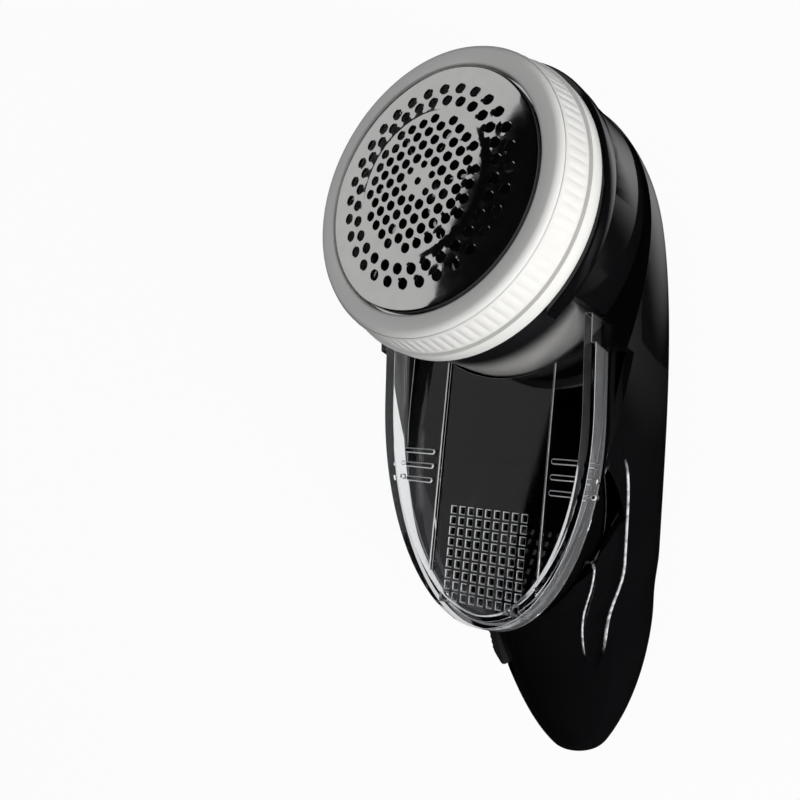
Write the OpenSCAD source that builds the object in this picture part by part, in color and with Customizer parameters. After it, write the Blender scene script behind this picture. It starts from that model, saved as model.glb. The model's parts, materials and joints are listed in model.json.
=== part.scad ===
// Rechargeable fabric shaver, lying on its back on the flat of its rear housing.
// The body is a turned teardrop. Its axis leans so that the back flat is level.
// The head axis leans towards the head end (+Y), and the handle runs towards -Y.

/* [Body] */
// Largest radius of the body, under the head
body_r = 42; // [40:0.5:46]
// Length of the body from its widest place to the nose at the head end
nose_len = 59; // [56:1:66]
// Length of the grip below the foot of the lint bin
grip_len = 13.7; // [7:0.1:28]
// Radius of the body at the end of the grip
grip_r = 28.2; // [26:0.2:31]
// Length of the rounded tail behind the grip
tail_len = 42; // [36:1:54]
// Radius of the tail's end face
tail_r = 9; // [8:0.2:12]
// Wall thickness of the two housings
wall = 2.2; // [1.8:0.1:3]
// Height of the handle's front line over the body axis at the tail's end
front_end = 11; // [10.6:0.1:11.4]
// Slope of the handle's front line
front_slope = 9.9; // [9.6:0.1:10.2]
// Angle between the body axis and the back flat
rest_tilt = 7.8; // [7:0.1:8.6]
// Distance from the widest place to the middle of the back flat
rest_at = 50; // [44:1:56]
// Height of the body axis over the middle of the back flat
rest_h = 35.8; // [35:0.1:36.4]

/* [Head] */
// Lean of the head axis against the body axis
head_tilt = 30; // [28:0.5:32]
// Distance from the widest place to where the head axis meets the body axis
head_y = 8.5; // [7:0.5:10]
// Distance from the body axis to the middle of the foil
head_h = 33; // [32:0.5:36]
// Radius of the foil's dome
foil_r = 30.3; // [29:0.1:30.4]
// Rise of the foil's dome
foil_rise = 3.4; // [2:0.1:4]
// Thickness of the foil
foil_t = 0.4; // [0.3:0.05:0.6]
// Depth of the foil's skirt below its dome
foil_skirt = 2.8; // [2:0.1:3.4]
// Outer radius of the lock ring at its front
ring_r = 36; // [35.6:0.1:37]
// Depth of the lock ring's outer band
ring_band = 7.4; // [7:0.1:8.2]
// Outer radius of the head base's rim
base_r = 38.4; // [38:0.1:40]
// Height of the head base's rim
base_rim = 4.1; // [3:0.1:5]
// Outer radius of the head collar
collar_r = 39.8; // [39.4:0.1:41]
// Height of the head collar
collar_h = 4.5; // [3:0.1:6]

/* [Lint bin] */
// Angle of the bin's floor against the body axis
bin_tilt = 38; // [37.5:0.1:38.5]
// Distance from the widest place to the top of the bin's floor
bin_top = 25.9; // [25.4:0.1:26.4]
// Height of the top of the bin's floor over the body axis
bin_top_z = -18.7; // [-19.1:0.1:-18.3]
// Length of the bin
bin_len = 83; // [80:0.5:83.5]
// Half of the bin's width
bin_w = 33.2; // [31:0.2:33.6]
// Length of the bin's rounded end
bin_round = 54; // [46:1:60]
// Depth of the bin at its foot
bin_foot_h = 8.5; // [8:0.1:9.5]
// Slope of the bin's front rim against its floor
rim_slope = 19; // [18.4:0.1:19.4]
// Slope of the bin's front panel against its floor
panel_slope = 12.8; // [12.2:0.1:13.4]
// Wall thickness of the bin
bin_wall = 1.8; // [1.4:0.1:2.2]
// Vents along each side of the bin's grid
vent_n = 9; // [5:1:9]
// Spacing of the vents
vent_pitch = 2.85; // [2.6:0.05:2.9]

/* [Drive] */
// Radius of the motor
motor_r = 12; // [10.5:0.1:12.4]
// Length of the motor's can
motor_len = 29; // [26:1:31]
// Radius of the drive shaft
shaft_r = 1.15; // [1:0.05:1.4]
// Running clearance of the drive shaft
shaft_fit = 0.05; // [0.03:0.01:0.09]
// Number of blades on the cutter
blade_n = 6; // [3:1:8]
// Reach of the blades from the head axis
blade_r = 26; // [22:0.5:27]

/* [Power] */
// Radius of the battery cell
cell_r = 8.5; // [7:0.1:8.6]
// Length of the battery cell
cell_len = 50; // [44:1:52]
// Radius of the charging socket's bore
jack_bore = 2.8; // [2.75:0.05:3.2]
// Radius of the charging socket's centre pin
jack_pin_r = 1; // [0.65:0.05:1.25]
// Length of the switch knob
knob_len = 13; // [11:0.5:15]
// Width of the switch knob
knob_w = 9; // [8:0.2:11]
// Travel of the switch knob
knob_travel = 5; // [3:0.5:6]
// Turn of the switch from the front of the handle to its left side
switch_turn = 38; // [34:0.5:40]

/* [Hidden] */
$fn = 64;
slip = 0.3;        // gap between pieces that slide on each other
snug = 0.05;       // gap between pieces that seat in each other
big = 400;         // larger than the whole object
profile_n = 10;    // points on each stretch of the body's profile
black = "#141416";
white = "#e9e8e4";
steel = "#b9bcc0";
copper = "#b06a3a";
clear = [0.86, 0.89, 0.93, 0.4];

// Levels along the head axis, from the top of the foil
foil_edge = -foil_rise;
foil_foot = foil_edge - foil_skirt;
flange_t = 0.6;
base_top = foil_foot - flange_t;
ring_front = foil_edge - 0.2;
ring_foot = ring_front - 2 - ring_band;
rim_top = ring_foot - slip;
rim_foot = rim_top - base_rim;
collar_foot = rim_foot - collar_h;
floor_t = 2.2;
floor_top = rim_foot - 4.3;
floor_foot = floor_top - floor_t;
neck_r = collar_r - 0.4;
front_cut = collar_foot - 15;
neck_front = -22;
spigot_h = 4;

// Head base and lock ring
cup_r = 33.2;
cup_wall = 1.7;
ring_bore = cup_r + 1.6;
lug_n = 3;
lug_span = 24;
lug_h = 1.5;
lug_top = base_top - 2.4;
tooth_n = 90;
tooth_h = 0.35;
lip_r = foil_r + 0.5;

// Foil holes: a hexagonal field inside two rings
hole_pitch = 3.45;
hole_small_r = 0.8;
hole_r = 1.05;
hole_big_r = 1.2;
field_rings = 5;
outer_n = 30;
outer_rings = [20.6, 23.9];
dome_r = (foil_r * foil_r + foil_rise * foil_rise) / (2 * foil_rise);

// Motor and cutter, along the head axis
plate_t = 2.4;
plate_r = 20;
plate_flat = 13.3;
motor_screw_x = 8;
plate_screw_x = 16;
plate_foot = floor_foot - plate_t;
can_t = 1;
can_foot = plate_foot - motor_len;
cap_h = 3.4;
boss_r = 3.4;
boss_h = 1.4;
bush_r = 2.6;
bush_h = 2.4;
shaft_top = foil_edge - 3.2;
shaft_foot = can_foot - cap_h + 0.8;
magnet_t = 1.3;
rotor_gap = 0.6;
rotor_r = motor_r - can_t - magnet_t - rotor_gap;
rotor_ends = 5.5;
blade_t = 0.8;
blade_gap = 0.35;
disc_t = 2;
disc_top = -10.4;
hub_r = 4.2;
vane_h = 4.4;
vane_t = 1.2;
seal_r = 5;
seal_h = 1.4;
chute_r = 36;
chute_w = 28;
chute_wall = 1.4;
chute_back = -plate_flat - 0.6;
chute_foot = -45;

// Lint bin: its foot, its rim, its sunk panel and the channel it slides in
bin_foot = bin_top + bin_len * cos(bin_tilt);
bin_foot_z = bin_top_z + bin_len * sin(bin_tilt);
rim_w = 3.2;
lip_h = 6.5;
lip_step = 1.2;
panel_drop = 1.7;
rib_n = 3;
rib_pitch = 3.75;
rib_at = 35;
vent_from = 6.6;
channel_w = bin_w - lip_step + 0.4;
channel_len = bin_len + 2;
channel_rim = 0.8;
lip_end = bin_len - 14;
chute_gap = 0.8;

// Screws
screw_r = 1.25;
screw_head_r = 2.6;
screw_head_h = 1.8;
post_r = 3.7;
small_r = 0.9;
small_head_r = 1.8;
small_head_h = 1.2;

// Cones that shape the front of the handle below the bin
grip_end = bin_foot + grip_len;
tail_end = -(grip_end + tail_len);
front_drop = 8;
front_bend = -bin_foot - 4.7;
seat_slope = 40;
function front_z(y) = front_end + (y - tail_end) * tan(front_slope);
// Finger groove along each side of the handle
groove_r = 9;
groove_line = [[39.3, -71.3, 12.8], [35.2, -83.4, 16], [27.3, -97.5, 17.4]];

// Handle contents, in the body's frame
screw_run = 11;
cell_z = -18.6;
cell_end = -bin_top - 20.1 - cell_len;
tab_t = 0.4;
jack_z = -1.5;
jack_r = 4.6;
jack_len = 13;
jack_depth = 9;
jack_flange = 6.4;
pin_root_r = jack_pin_r + 0.4;
lead_r = 0.8;
// Switch and board, in a frame on the handle's front line
knob_at = -grip_end - 4.5;
knob_z = -2.4;
knob_h = 5;
track_floor = knob_z - 2.4;
stem_w = 3.2;
switch_w = 8.4;
switch_len = 13;
board_t = 1.6;
board_z = -13;
board_w = 10.5;
board_from = -12;
board_to = 21;
// Places of the housing screws and the heights where the two posts of each meet
mid_screw = -grip_end / 1.5;
tail_screw = tail_end + 21;
screw_spots = [[-19, mid_screw, -4], [19, mid_screw, -4], [-33, -10, -8], [33, -10, -8], [0, tail_screw, -2]];
board_spots = [[-7.5, -9], [7.5, -9], [-7.5, 17.5], [7.5, 17.5]];
// Routes of the leads, from end to end: places near the board, the cell's two ends and the socket
function at_board(x, y, z) = [x, knob_at + y, front_z(knob_at) + z];
function at_cell(x, y, z) = [x, cell_end + y, cell_z + z];
function at_top(x, y, z) = [x, cell_end + cell_len + y, cell_z + z];
function at_jack(x, y, z) = [x, tail_end + y, jack_z + z];
motor_start = [[5, -9.6, -29.6], [10, -16, -29], [13, -28, -25], [13, -45, -18]];
motor_route_a = concat(motor_start, [at_board(12, 49.5, -25.5), at_board(6, 35.5, -17.5),
    at_board(-2, 25.5, -13.5), at_board(-5, 20.2, -11.7)]);
motor_route_b = concat([for (p = motor_start) [-p[0], p[1], p[2]]], [at_board(-13.4, 47.5, -29.5),
    at_board(-13.4, 33.5, -25.5), at_board(-13, 23.5, -21.5), at_board(-12.8, 19.9, -17.6)]);
cell_route_a = [at_cell(0, -1.2, 2.4), at_cell(-1, -4.5, 4.1), at_cell(-2, -5.5, 10.6),
    at_cell(-2.6, -5.5, 17.6), at_board(-3.9, 8.2, -13.1)];
cell_route_b = [at_top(0, 2, 3), at_top(3.5, 2.8, 5.1), at_top(6.6, 1, 6.8), at_top(7, -6, 6.8),
    at_cell(7, 30, 8.1), at_cell(6.4, 12, 11.6), at_cell(4, -2, 15.6), at_board(0.5, 4.9, -16.7),
    at_board(-3.2, 3.5, -13.5)];
jack_route_a = [at_jack(2.6, 13.8, 0), at_jack(5, 16.5, -0.5), at_jack(5.6, 21, -1),
    at_board(5.2, -11.5, -19.5), at_board(4.2, -8.2, -18.6), at_board(1, -7.4, -17.3),
    at_board(-3.5, -7.3, -16.2)];
jack_route_b = [at_jack(-2.6, 13.8, 0), at_jack(-5, 16.5, -1.5), at_jack(-6, 21, -2.5),
    at_board(-7.4, -11.5, -21.5), at_board(-8.4, -7.9, -20.4)];

// Frames
module body_frame() {
    translate([0, 0, rest_h]) rotate([rest_tilt, 0, 0]) translate([0, rest_at, 0]) children();
}
module head_place() {
    translate([0, head_y, 0]) rotate([-head_tilt, 0, 0]) translate([0, 0, head_h]) children();
}
module head_frame() {
    body_frame() head_place() children();
}
module bin_place() {
    translate([0, -bin_foot, bin_foot_z]) rotate([-bin_tilt, 0, 0]) children();
}
module front_place() {
    translate([0, knob_at, -front_drop]) rotate([0, -switch_turn, 0])
        translate([0, 0, front_z(knob_at) + front_drop]) rotate([front_slope, 0, 0]) children();
}
// Turns a shape that stands on XY so that its height runs along the body axis
module along_body(y) {
    translate([0, y, 0]) rotate([-90, 0, 0]) children();
}

// Shapes that repeat
function bezier(a, b, c, d, t) =
    pow(1 - t, 3) * a + 3 * t * pow(1 - t, 2) * b + 3 * t * t * (1 - t) * c + pow(t, 3) * d;
function body_profile(inset) =
    let (nose = nose_len - inset, end = tail_end + inset, ends = tail_r - inset * 0.5)
    concat(
        [[0, end]],
        [for (i = [0:profile_n - 1]) let (t = 1 - i / profile_n)
            bezier([grip_r - inset, -grip_end], [grip_r - inset - 1.7, -grip_end - 0.29 * tail_len],
                [ends + 7, end + 9], [ends, end], t)],
        [for (i = [0:profile_n - 1]) let (t = 1 - i / profile_n)
            bezier([body_r - inset, 0], [body_r - inset, -0.27 * grip_end],
                [grip_r - inset + 5, -0.667 * grip_end], [grip_r - inset, -grip_end], t)],
        [for (i = [0:profile_n - 1]) let (y = nose * sin(90 * i / profile_n))
            [(body_r - inset) * (1 - pow(y / nose, 2.4)), y]],
        [[0, nose]]);
module tube(r_out, r_in, z_from, z_to) {
    translate([0, 0, z_from]) difference() {
        cylinder(r = r_out, h = z_to - z_from);
        translate([0, 0, -1]) cylinder(r = r_in, h = z_to - z_from + 2);
    }
}
module disc(r, z_from, z_to) {
    translate([0, 0, z_from]) cylinder(r = r, h = z_to - z_from);
}
module slab(x, y_from, y_to, z_from, z_to) {
    translate([-x, y_from, z_from]) cube([2 * x, y_to - y_from, z_to - z_from]);
}
// A wire of eight sides along a list of points
function unit(v) = v / norm(v);
function lead_ring(path, i) =
    let (n = len(path), d = unit(path[min(i + 1, n - 1)] - path[max(i - 1, 0)]),
        side = unit(cross(d, abs(d[0]) > 0.9 ? [0, 1, 0] : [1, 0, 0])), up = cross(d, side))
    [for (k = [0:7]) path[i] + lead_r * (cos(45 * k) * side + sin(45 * k) * up)];
module lead(path) {
    n = len(path);
    points = [for (i = [0:n - 1]) each lead_ring(path, i)];
    walls = [for (i = [0:n - 2], k = [0:7])
        let (a = 8 * i + k, b = 8 * i + (k + 1) % 8)
        each [[a, a + 8, b], [b, a + 8, b + 8]]];
    caps = [for (k = [1:6]) each [[0, k, k + 1], [8 * n - 8, 8 * n - 8 + k + 1, 8 * n - 8 + k]]];
    polyhedron(points, concat(walls, caps));
}
module screw(r, length, head_r, head_h) {
    cylinder(r = head_r, h = head_h);
    translate([0, 0, head_h]) cylinder(r = r, h = length);
}

// The teardrop body, cut at the head and at the back flat
module head_keep(inset) {
    translate([-big / 2, -big / 2, front_cut - inset - big]) cube(big);
    disc(neck_r - inset, front_cut - inset - 1, collar_foot + (inset > 0 ? 1 : 0));
}
module body_solid(inset) {
    intersection() {
        rotate([-90, 0, 0]) rotate_extrude() polygon(body_profile(inset));
        head_place() head_keep(inset);
        front_keep(inset / cos(front_slope));
    }
}
module front_keep(inset) {
    from = tail_end - 1;
    to = nose_len + 1;
    bend_r = front_z(front_bend) + front_drop - inset;
    translate([0, 0, -front_drop]) rotate([-90, 0, 0]) rotate_extrude() polygon([[0, from],
        [front_z(from) + front_drop - inset, from], [bend_r, front_bend],
        [bend_r + (to - front_bend) * tan(seat_slope), to], [0, to]]);
}
module back_cut() {
    translate([0, -rest_at, 0]) rotate([-rest_tilt, 0, 0])
        translate([-big / 2, -big / 2, -rest_h - big]) cube(big);
}
module grip_grooves() {
    for (m = [0, 1]) mirror([m, 0, 0]) {
        for (p = groove_line) translate(p) sphere(r = groove_r);
        for (i = [1:len(groove_line) - 1]) let (run = groove_line[i] - groove_line[i - 1])
            translate(groove_line[i - 1]) rotate([0, acos(run[2] / norm(run)), atan2(run[1], run[0])])
                cylinder(r = groove_r, h = norm(run));
    }
}
// Channel that the bin slides in, open towards the tail and under the head
module bin_channel() {
    difference() {
        bin_place() {
            slab(channel_w, -40, channel_len, 0, 60);
            intersection() {
                slab(60, -40, lip_end, 0, 80);
                above(bin_foot_h - lip_h - channel_rim, rim_slope);
            }
        }
        head_place() intersection() {
            disc(neck_r + 0.01, front_cut - 2.5, 0);
            slab(60, neck_front, 60, -80, 0);
        }
    }
}
module channel_walls() {
    difference() {
        bin_place() slab(channel_w + wall, -40, channel_len + wall, -wall, 60);
        bin_place() slab(channel_w, -41, channel_len, 0, 61);
        head_place() slab(chute_w + chute_gap, -60, 30, chute_foot - chute_gap, 0);
        head_place() slab(60, -90, 60, front_cut - 1, 0);
    }
}
// Wall of the neck on each side of the chute
module neck_walls() {
    head_place() difference() {
        intersection() {
            disc(neck_r - 0.5, front_cut - 1.5, collar_foot);
            slab(60, neck_front, neck_front + wall, -80, 0);
        }
        slab(chute_w + slip, -60, 0, -80, 0);
    }
}
// Room for the collar's spigot inside the neck
module collar_seat() {
    head_place() intersection() {
        disc(neck_r - wall, collar_foot - spigot_h - slip, collar_foot + 1);
        slab(60, neck_front + wall, 60, -80, 0);
    }
}
module posts(spots, from_back) {
    for (p = spots)
        if (from_back) translate([p[0], p[1], -60]) cylinder(r = post_r, h = 60 + p[2]);
        else translate([p[0], p[1], p[2]]) cylinder(r = post_r, h = 60);
}
module screw_holes(r, head) {
    for (p = screw_spots) translate([p[0], p[1], p[2] - screw_run]) {
        cylinder(r = r, h = 2 * screw_run);
        if (head) translate([0, 0, -60]) cylinder(r = screw_head_r + 0.3, h = 60);
    }
}
module jack_hole() {
    along_body(tail_end - 1) translate([0, -jack_z, 0]) cylinder(r = jack_r + snug, h = jack_len);
}

module rear_housing() {
    color(black) body_frame() difference() {
        union() {
            intersection() {
                difference() {
                    body_solid(0);
                    body_solid(wall);
                }
                translate([-big / 2, -big / 2, -big]) cube(big);
            }
            intersection() {
                body_solid(wall / 2);
                union() {
                    posts(screw_spots, true);
                    for (y = [cell_end + 12, cell_end + 38])
                        translate([-14, y, -60]) cube([28, 1.8, 60 + cell_z - 1]);
                }
            }
        }
        back_cut();
        bin_channel();
        along_body(cell_end - 1) translate([0, -cell_z, 0])
            cylinder(r = cell_r + snug, h = cell_len + 2);
        screw_holes(screw_r + 0.2, true);
        jack_hole();
        collar_seat();
        grip_grooves();
    }
}
// Walls and posts inside the front housing
module front_inside() {
    channel_walls();
    neck_walls();
    under_channel() posts(screw_spots, false);
    front_place() {
        slab(knob_w, -knob_len - 4, knob_len - 3, track_floor, 60);
        for (p = board_spots) translate([p[0], p[1], board_z + board_t]) cylinder(r = 2.6, h = 40);
    }
}
module front_housing() {
    color(black) body_frame() difference() {
        union() {
            intersection() {
                difference() {
                    body_solid(0);
                    body_solid(wall);
                }
                translate([-big / 2, -big / 2, 0]) cube(big);
            }
            intersection() {
                body_solid(wall + slip);
                front_inside();
            }
            intersection() {
                body_solid(wall / 2);
                translate([-big / 2, -big / 2, 0]) cube(big);
                front_inside();
            }
        }
        bin_channel();
        front_place() {
            switch_track();
            for (p = board_spots) translate([p[0], p[1], board_z]) cylinder(r = small_r + snug, h = 6);
        }
        screw_holes(screw_r + snug, false);
        jack_hole();
        collar_seat();
        grip_grooves();
    }
}
// Keeps only what lies under the bin's channel
module under_channel() {
    difference() {
        children();
        bin_place() slab(60, -60, 160, -wall / 2, 160);
    }
}
// Pocket and slot for the switch knob
module switch_track() {
    half = knob_len / 2 + slip;
    reach = stem_w + slip;
    slab(knob_w / 2 + slip, -half - knob_travel, half, knob_z, 60);
    slab(stem_w / 2 + slip, -reach - knob_travel, reach, track_floor - 20, 60);
}

// Head
module head_collar() {
    color(black) head_frame() difference() {
        union() {
            tube(collar_r, cup_r + slip, collar_foot, rim_foot);
            tube(neck_r - wall - snug, cup_r + slip, collar_foot - spigot_h, collar_foot + 0.5);
        }
        slab(chute_w + slip, -60, 0, collar_foot - 5, 0);
        slab(60, -60, neck_front + wall + slip, collar_foot - 5, collar_foot);
    }
}
module head_base() {
    color(white) head_frame() difference() {
        union() {
            tube(cup_r, cup_r - cup_wall, floor_foot, base_top);
            tube(base_r, cup_r - 0.5, rim_foot, rim_top);
            disc(cup_r - 0.5, floor_foot, floor_top);
            for (i = [0:lug_n - 1])
                rotate(i * 360 / lug_n) bayonet_lug(cup_r - 0.5, cup_r + 1.3, lug_top - lug_h, lug_top);
        }
        disc(shaft_r + 0.6, floor_foot - 1, floor_top + 1);
        intersection() {
            disc(cup_r - cup_wall - 0.6, floor_foot - 1, floor_top + 1);
            slab(chute_w - 6, -60, chute_back - chute_wall, floor_foot - 1, floor_top + 1);
        }
        for (s = [-1, 1]) translate([0, 0, floor_foot - 1]) {
            translate([s * motor_screw_x, 0, 0]) cylinder(r = small_head_r + 0.3, h = 1 + small_head_h + 0.2);
            translate([s * plate_screw_x, 0, 0]) cylinder(r = small_r + snug, h = floor_t + 2);
        }
    }
}
// A block of a ring, centred on +X
module bayonet_lug(r_in, r_out, z_from, z_to) {
    translate([0, 0, z_from]) rotate(-lug_span / 2) rotate_extrude(angle = lug_span)
        translate([r_in, 0]) square([r_out - r_in, z_to - z_from]);
}
module lint_chute() {
    color(white) head_frame() difference() {
        union() {
            intersection() {
                disc(chute_r, chute_foot, floor_foot - snug);
                slab(chute_w, -60, chute_back, chute_foot, 0);
            }
            intersection() {
                tube(chute_r, cup_r + slip, chute_foot, rim_foot - snug);
                slab(chute_w, -60, neck_front, chute_foot, 0);
            }
        }
        intersection() {
            disc(chute_r - chute_wall, chute_foot - 1, floor_foot - snug);
            slab(chute_w - chute_wall, -60, chute_back - chute_wall, chute_foot - 1, 0);
        }
    }
}
module lock_ring() {
    root = ring_front - 2;
    color(white) head_frame() {
        difference() {
            union() {
                rotate_extrude() polygon([[lip_r, root], [lip_r, ring_front - 0.7],
                    [lip_r + 0.7, ring_front], [ring_r - 2.6, ring_front + 0.2],
                    [ring_r - 1, ring_front - 0.5], [ring_r - 0.2, ring_front - 1.4], [ring_r, root],
                    [ring_r, root - 1.2], [ring_r + 0.6, ring_foot + 0.8], [ring_r + 0.6, ring_foot],
                    [ring_bore - 0.4, ring_foot], [ring_bore - 0.4, root]]);
                translate([0, 0, ring_foot + 1]) linear_extrude(ring_band - 2.2) polygon(
                    [for (i = [0:2 * tooth_n - 1]) let (a = 180 * i / tooth_n)
                        (ring_r + 0.4 + tooth_h * (i % 2)) * [cos(a), sin(a)]]);
            }
            disc(ring_bore, ring_foot - 1, root - 0.4);
            disc(lip_r, ring_foot, 0);
        }
        for (i = [0:lug_n - 1]) rotate(i * 360 / lug_n)
            bayonet_lug(cup_r + slip, ring_bore + 0.5, lug_top - 2 * lug_h - slip, lug_top - lug_h - slip);
    }
}
module foil() {
    rim = cup_r - 0.2;
    color(steel) head_frame() difference() {
        union() {
            intersection() {
                translate([0, 0, -dome_r]) sphere(r = dome_r, $fn = 128);
                disc(foil_r, foil_foot - flange_t, 1);
            }
            disc(rim, foil_foot - flange_t, foil_foot);
        }
        intersection() {
            translate([0, 0, -dome_r]) sphere(r = dome_r - foil_t, $fn = 128);
            disc(foil_r - foil_t, foil_foot - flange_t - 1, 1);
        }
        foil_holes();
    }
}
module foil_holes() {
    depth = foil_rise + foil_skirt;
    for (q = [-field_rings:field_rings], s = [-field_rings:field_rings])
        let (ring = max(abs(q), abs(s), abs(q + s)), p = hole_pitch * [q + s / 2, s * sqrt(3) / 2],
            spread = ring == 1 ? 1.2 : 1, corner = q * s * (q + s) == 0)
        if (ring < field_rings || (ring == field_rings && !corner))
            translate([spread * p[0], spread * p[1], -depth])
                cylinder(r = ring < 2 ? hole_small_r : hole_r, h = depth + 1, $fn = 24);
    for (k = [0:len(outer_rings) - 1], i = [0:outer_n - 1])
        rotate((i + k / 2) * 360 / outer_n) translate([outer_rings[k], 0, -depth])
            cylinder(r = hole_big_r, h = depth + 1, $fn = 24);
}

// Cutter and motor
module cutter_carrier() {
    color("#d8d5cc") head_frame() difference() {
        union() {
            disc(hub_r, disc_top - disc_t - vane_h, shaft_top - 0.6);
            disc(blade_r - 1, disc_top - disc_t, disc_top);
            for (i = [0:blade_n - 1]) rotate((i + 0.5) * 360 / blade_n)
                translate([hub_r - 0.5, -vane_t / 2, disc_top - disc_t - vane_h])
                    cube([blade_r - hub_r - 3, vane_t, vane_h + 0.5]);
        }
        disc(shaft_r, -40, 0);
    }
}
module cutter_blades() {
    color(steel) head_frame() intersection() {
        for (i = [0:blade_n - 1]) rotate(i * 360 / blade_n)
            translate([hub_r + 0.2, -blade_t / 2, disc_top]) cube([blade_r - hub_r - 0.2, blade_t, 12]);
        translate([0, 0, -dome_r]) sphere(r = dome_r - foil_t - blade_gap, $fn = 128);
    }
}
module shaft_seal() {
    color("#55524c") head_frame() tube(seal_r, shaft_r + shaft_fit, floor_top, floor_top + seal_h);
}
module drive_shaft() {
    color(steel) head_frame() disc(shaft_r, shaft_foot, shaft_top);
}
module motor_rotor() {
    from = can_foot + rotor_ends;
    to = plate_foot - rotor_ends;
    color(copper) head_frame() {
        tube(rotor_r, shaft_r, from, to);
        tube(3.4, shaft_r, can_foot + 1, from - 0.2);
    }
}
module motor_magnets() {
    color("#4b4a4d") head_frame() for (a = [0, 180]) rotate(a - 60) translate([0, 0, can_foot + 3])
        rotate_extrude(angle = 120) translate([motor_r - can_t - magnet_t, 0])
            square([magnet_t, motor_len - 6]);
}
module motor_can() {
    color(steel) head_frame() difference() {
        union() {
            disc(motor_r, can_foot, plate_foot);
            disc(boss_r, plate_foot - 0.5, plate_foot + boss_h);
        }
        disc(motor_r - can_t, can_foot - 1, plate_foot - can_t);
        disc(bush_r, plate_foot + boss_h - bush_h, plate_foot + boss_h + 1);
        disc(shaft_r + 0.4, can_foot, plate_foot + boss_h);
        for (s = [-1, 1])
            translate([s * motor_screw_x, 0, plate_foot - can_t - 1])
                cylinder(r = small_r + snug, h = can_t + 2);
    }
}
module motor_end_cap() {
    color("#e0ddd2") head_frame() difference() {
        disc(motor_r, can_foot - cap_h, can_foot);
        disc(bush_r, can_foot - bush_h, can_foot + 1);
        disc(shaft_r + 0.4, can_foot - cap_h + 0.6, can_foot);
    }
}
module motor_bushes() {
    color("#c9a04a") head_frame() {
        tube(bush_r, shaft_r + shaft_fit, plate_foot + boss_h - bush_h, plate_foot + boss_h);
        tube(bush_r, shaft_r + shaft_fit, can_foot - bush_h, can_foot);
    }
}
module motor_plate() {
    color("#8d9196") head_frame() difference() {
        intersection() {
            disc(plate_r, plate_foot, floor_foot);
            translate([-big / 2, -plate_flat, -big]) cube(big);
        }
        disc(boss_r + snug, plate_foot - 1, floor_foot + 1);
        for (x = [-plate_screw_x, -motor_screw_x, motor_screw_x, plate_screw_x])
            translate([x, 0, plate_foot - 1]) cylinder(r = small_r + snug, h = plate_t + 2);
    }
}
module motor_screws() {
    color(steel) head_frame() for (s = [-1, 1])
        translate([s * motor_screw_x, 0, floor_foot + small_head_h]) rotate([180, 0, 0])
            screw(small_r, plate_t + can_t, small_head_r, small_head_h);
}
module plate_screws() {
    color(steel) head_frame() for (s = [-1, 1])
        translate([s * plate_screw_x, 0, plate_foot - small_head_h])
            screw(small_r, plate_t + floor_t, small_head_r, small_head_h);
}

// Lint bin, in its own frame: its floor is level and it opens under the chute
module bin_outline(inset, end) {
    w = bin_w - inset;
    polygon(concat([[w, end]],
        [for (a = [0:7.5:180]) [w * cos(a), bin_round - (bin_round - inset) * sin(a)]], [[-w, end]]));
}
// Everything above a plane that climbs from the foot
module above(h, slope) {
    translate([0, 0, h]) rotate([slope, 0, 0]) translate([-big / 2, -big / 2, 0]) cube(big);
}
module bin_solid() {
    lip_z = bin_foot_h - lip_h;
    difference() {
        union() {
            translate([0, 0, slip]) linear_extrude(50) bin_outline(lip_step, bin_len);
            intersection() {
                linear_extrude(50) bin_outline(0, lip_end - slip);
                above(lip_z, rim_slope);
            }
        }
        above(bin_foot_h, rim_slope);
        intersection() {
            linear_extrude(80) bin_outline(rim_w, bin_len + 1);
            above(bin_foot_h - panel_drop, panel_slope);
        }
    }
}
module bin_hollow() {
    difference() {
        translate([0, 0, slip + bin_wall]) linear_extrude(50)
            bin_outline(lip_step + bin_wall, bin_len - bin_wall);
        above(bin_foot_h - panel_drop - bin_wall, panel_slope);
    }
}
module bin_vents() {
    half = (vent_n - 1) / 2;
    translate([0, 0, bin_foot_h - panel_drop]) rotate([panel_slope, 0, 0])
        for (i = [-half:half], j = [0:vent_n - 1])
            translate([i * vent_pitch - 0.75, vent_from + (j - 0.3) * vent_pitch, -4]) cube([1.5, 1.7, 8]);
}
module bin_ribs() {
    translate([0, 0, bin_foot_h]) rotate([rim_slope, 0, 0])
        for (s = [-1, 1], i = [0:rib_n - 1])
            translate([s * (bin_w - 3) - 3.2, rib_at + i * rib_pitch, -3]) cube([6.4, 1.6, 3.4]);
}
module lint_bin() {
    color(clear) body_frame() difference() {
        bin_place() {
            difference() {
                bin_solid();
                bin_hollow();
                bin_vents();
            }
            bin_ribs();
        }
        head_place() {
            disc(chute_r + chute_gap, chute_foot - 4.2, 0);
            slab(60, neck_front - 1.4, 60, front_cut - 4, 0);
        }
    }
}

// Switch and board, in the frame of the handle's front line
module switch_knob() {
    half = knob_len / 2;
    color(black) body_frame() front_place() {
        slab(knob_w / 2, -half, half, knob_z + 0.1, knob_z + knob_h - 1.2);
        slab(knob_w / 2 - 0.8, -half + 0.8, half - 0.8, knob_z + 2, knob_z + knob_h - 0.6);
        for (i = [-2:2])
            slab(knob_w / 2 - 1.2, i * 2 - 0.5, i * 2 + 0.5, knob_z + 2, knob_z + knob_h);
        slab(stem_w / 2, -stem_w / 2, stem_w / 2, board_z + board_t + 3.4, knob_z + 1);
    }
}
module switch_body() {
    top = track_floor - 0.6;
    from = -(knob_travel + switch_len) / 2;
    reach = stem_w / 2 + slip;
    color("#9a9da1") body_frame() front_place() difference() {
        slab(switch_w / 2, from, from + switch_len, board_z + board_t, top);
        slab(reach, -knob_travel - reach, reach, board_z + board_t + 2.6, top + 1);
    }
}
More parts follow.
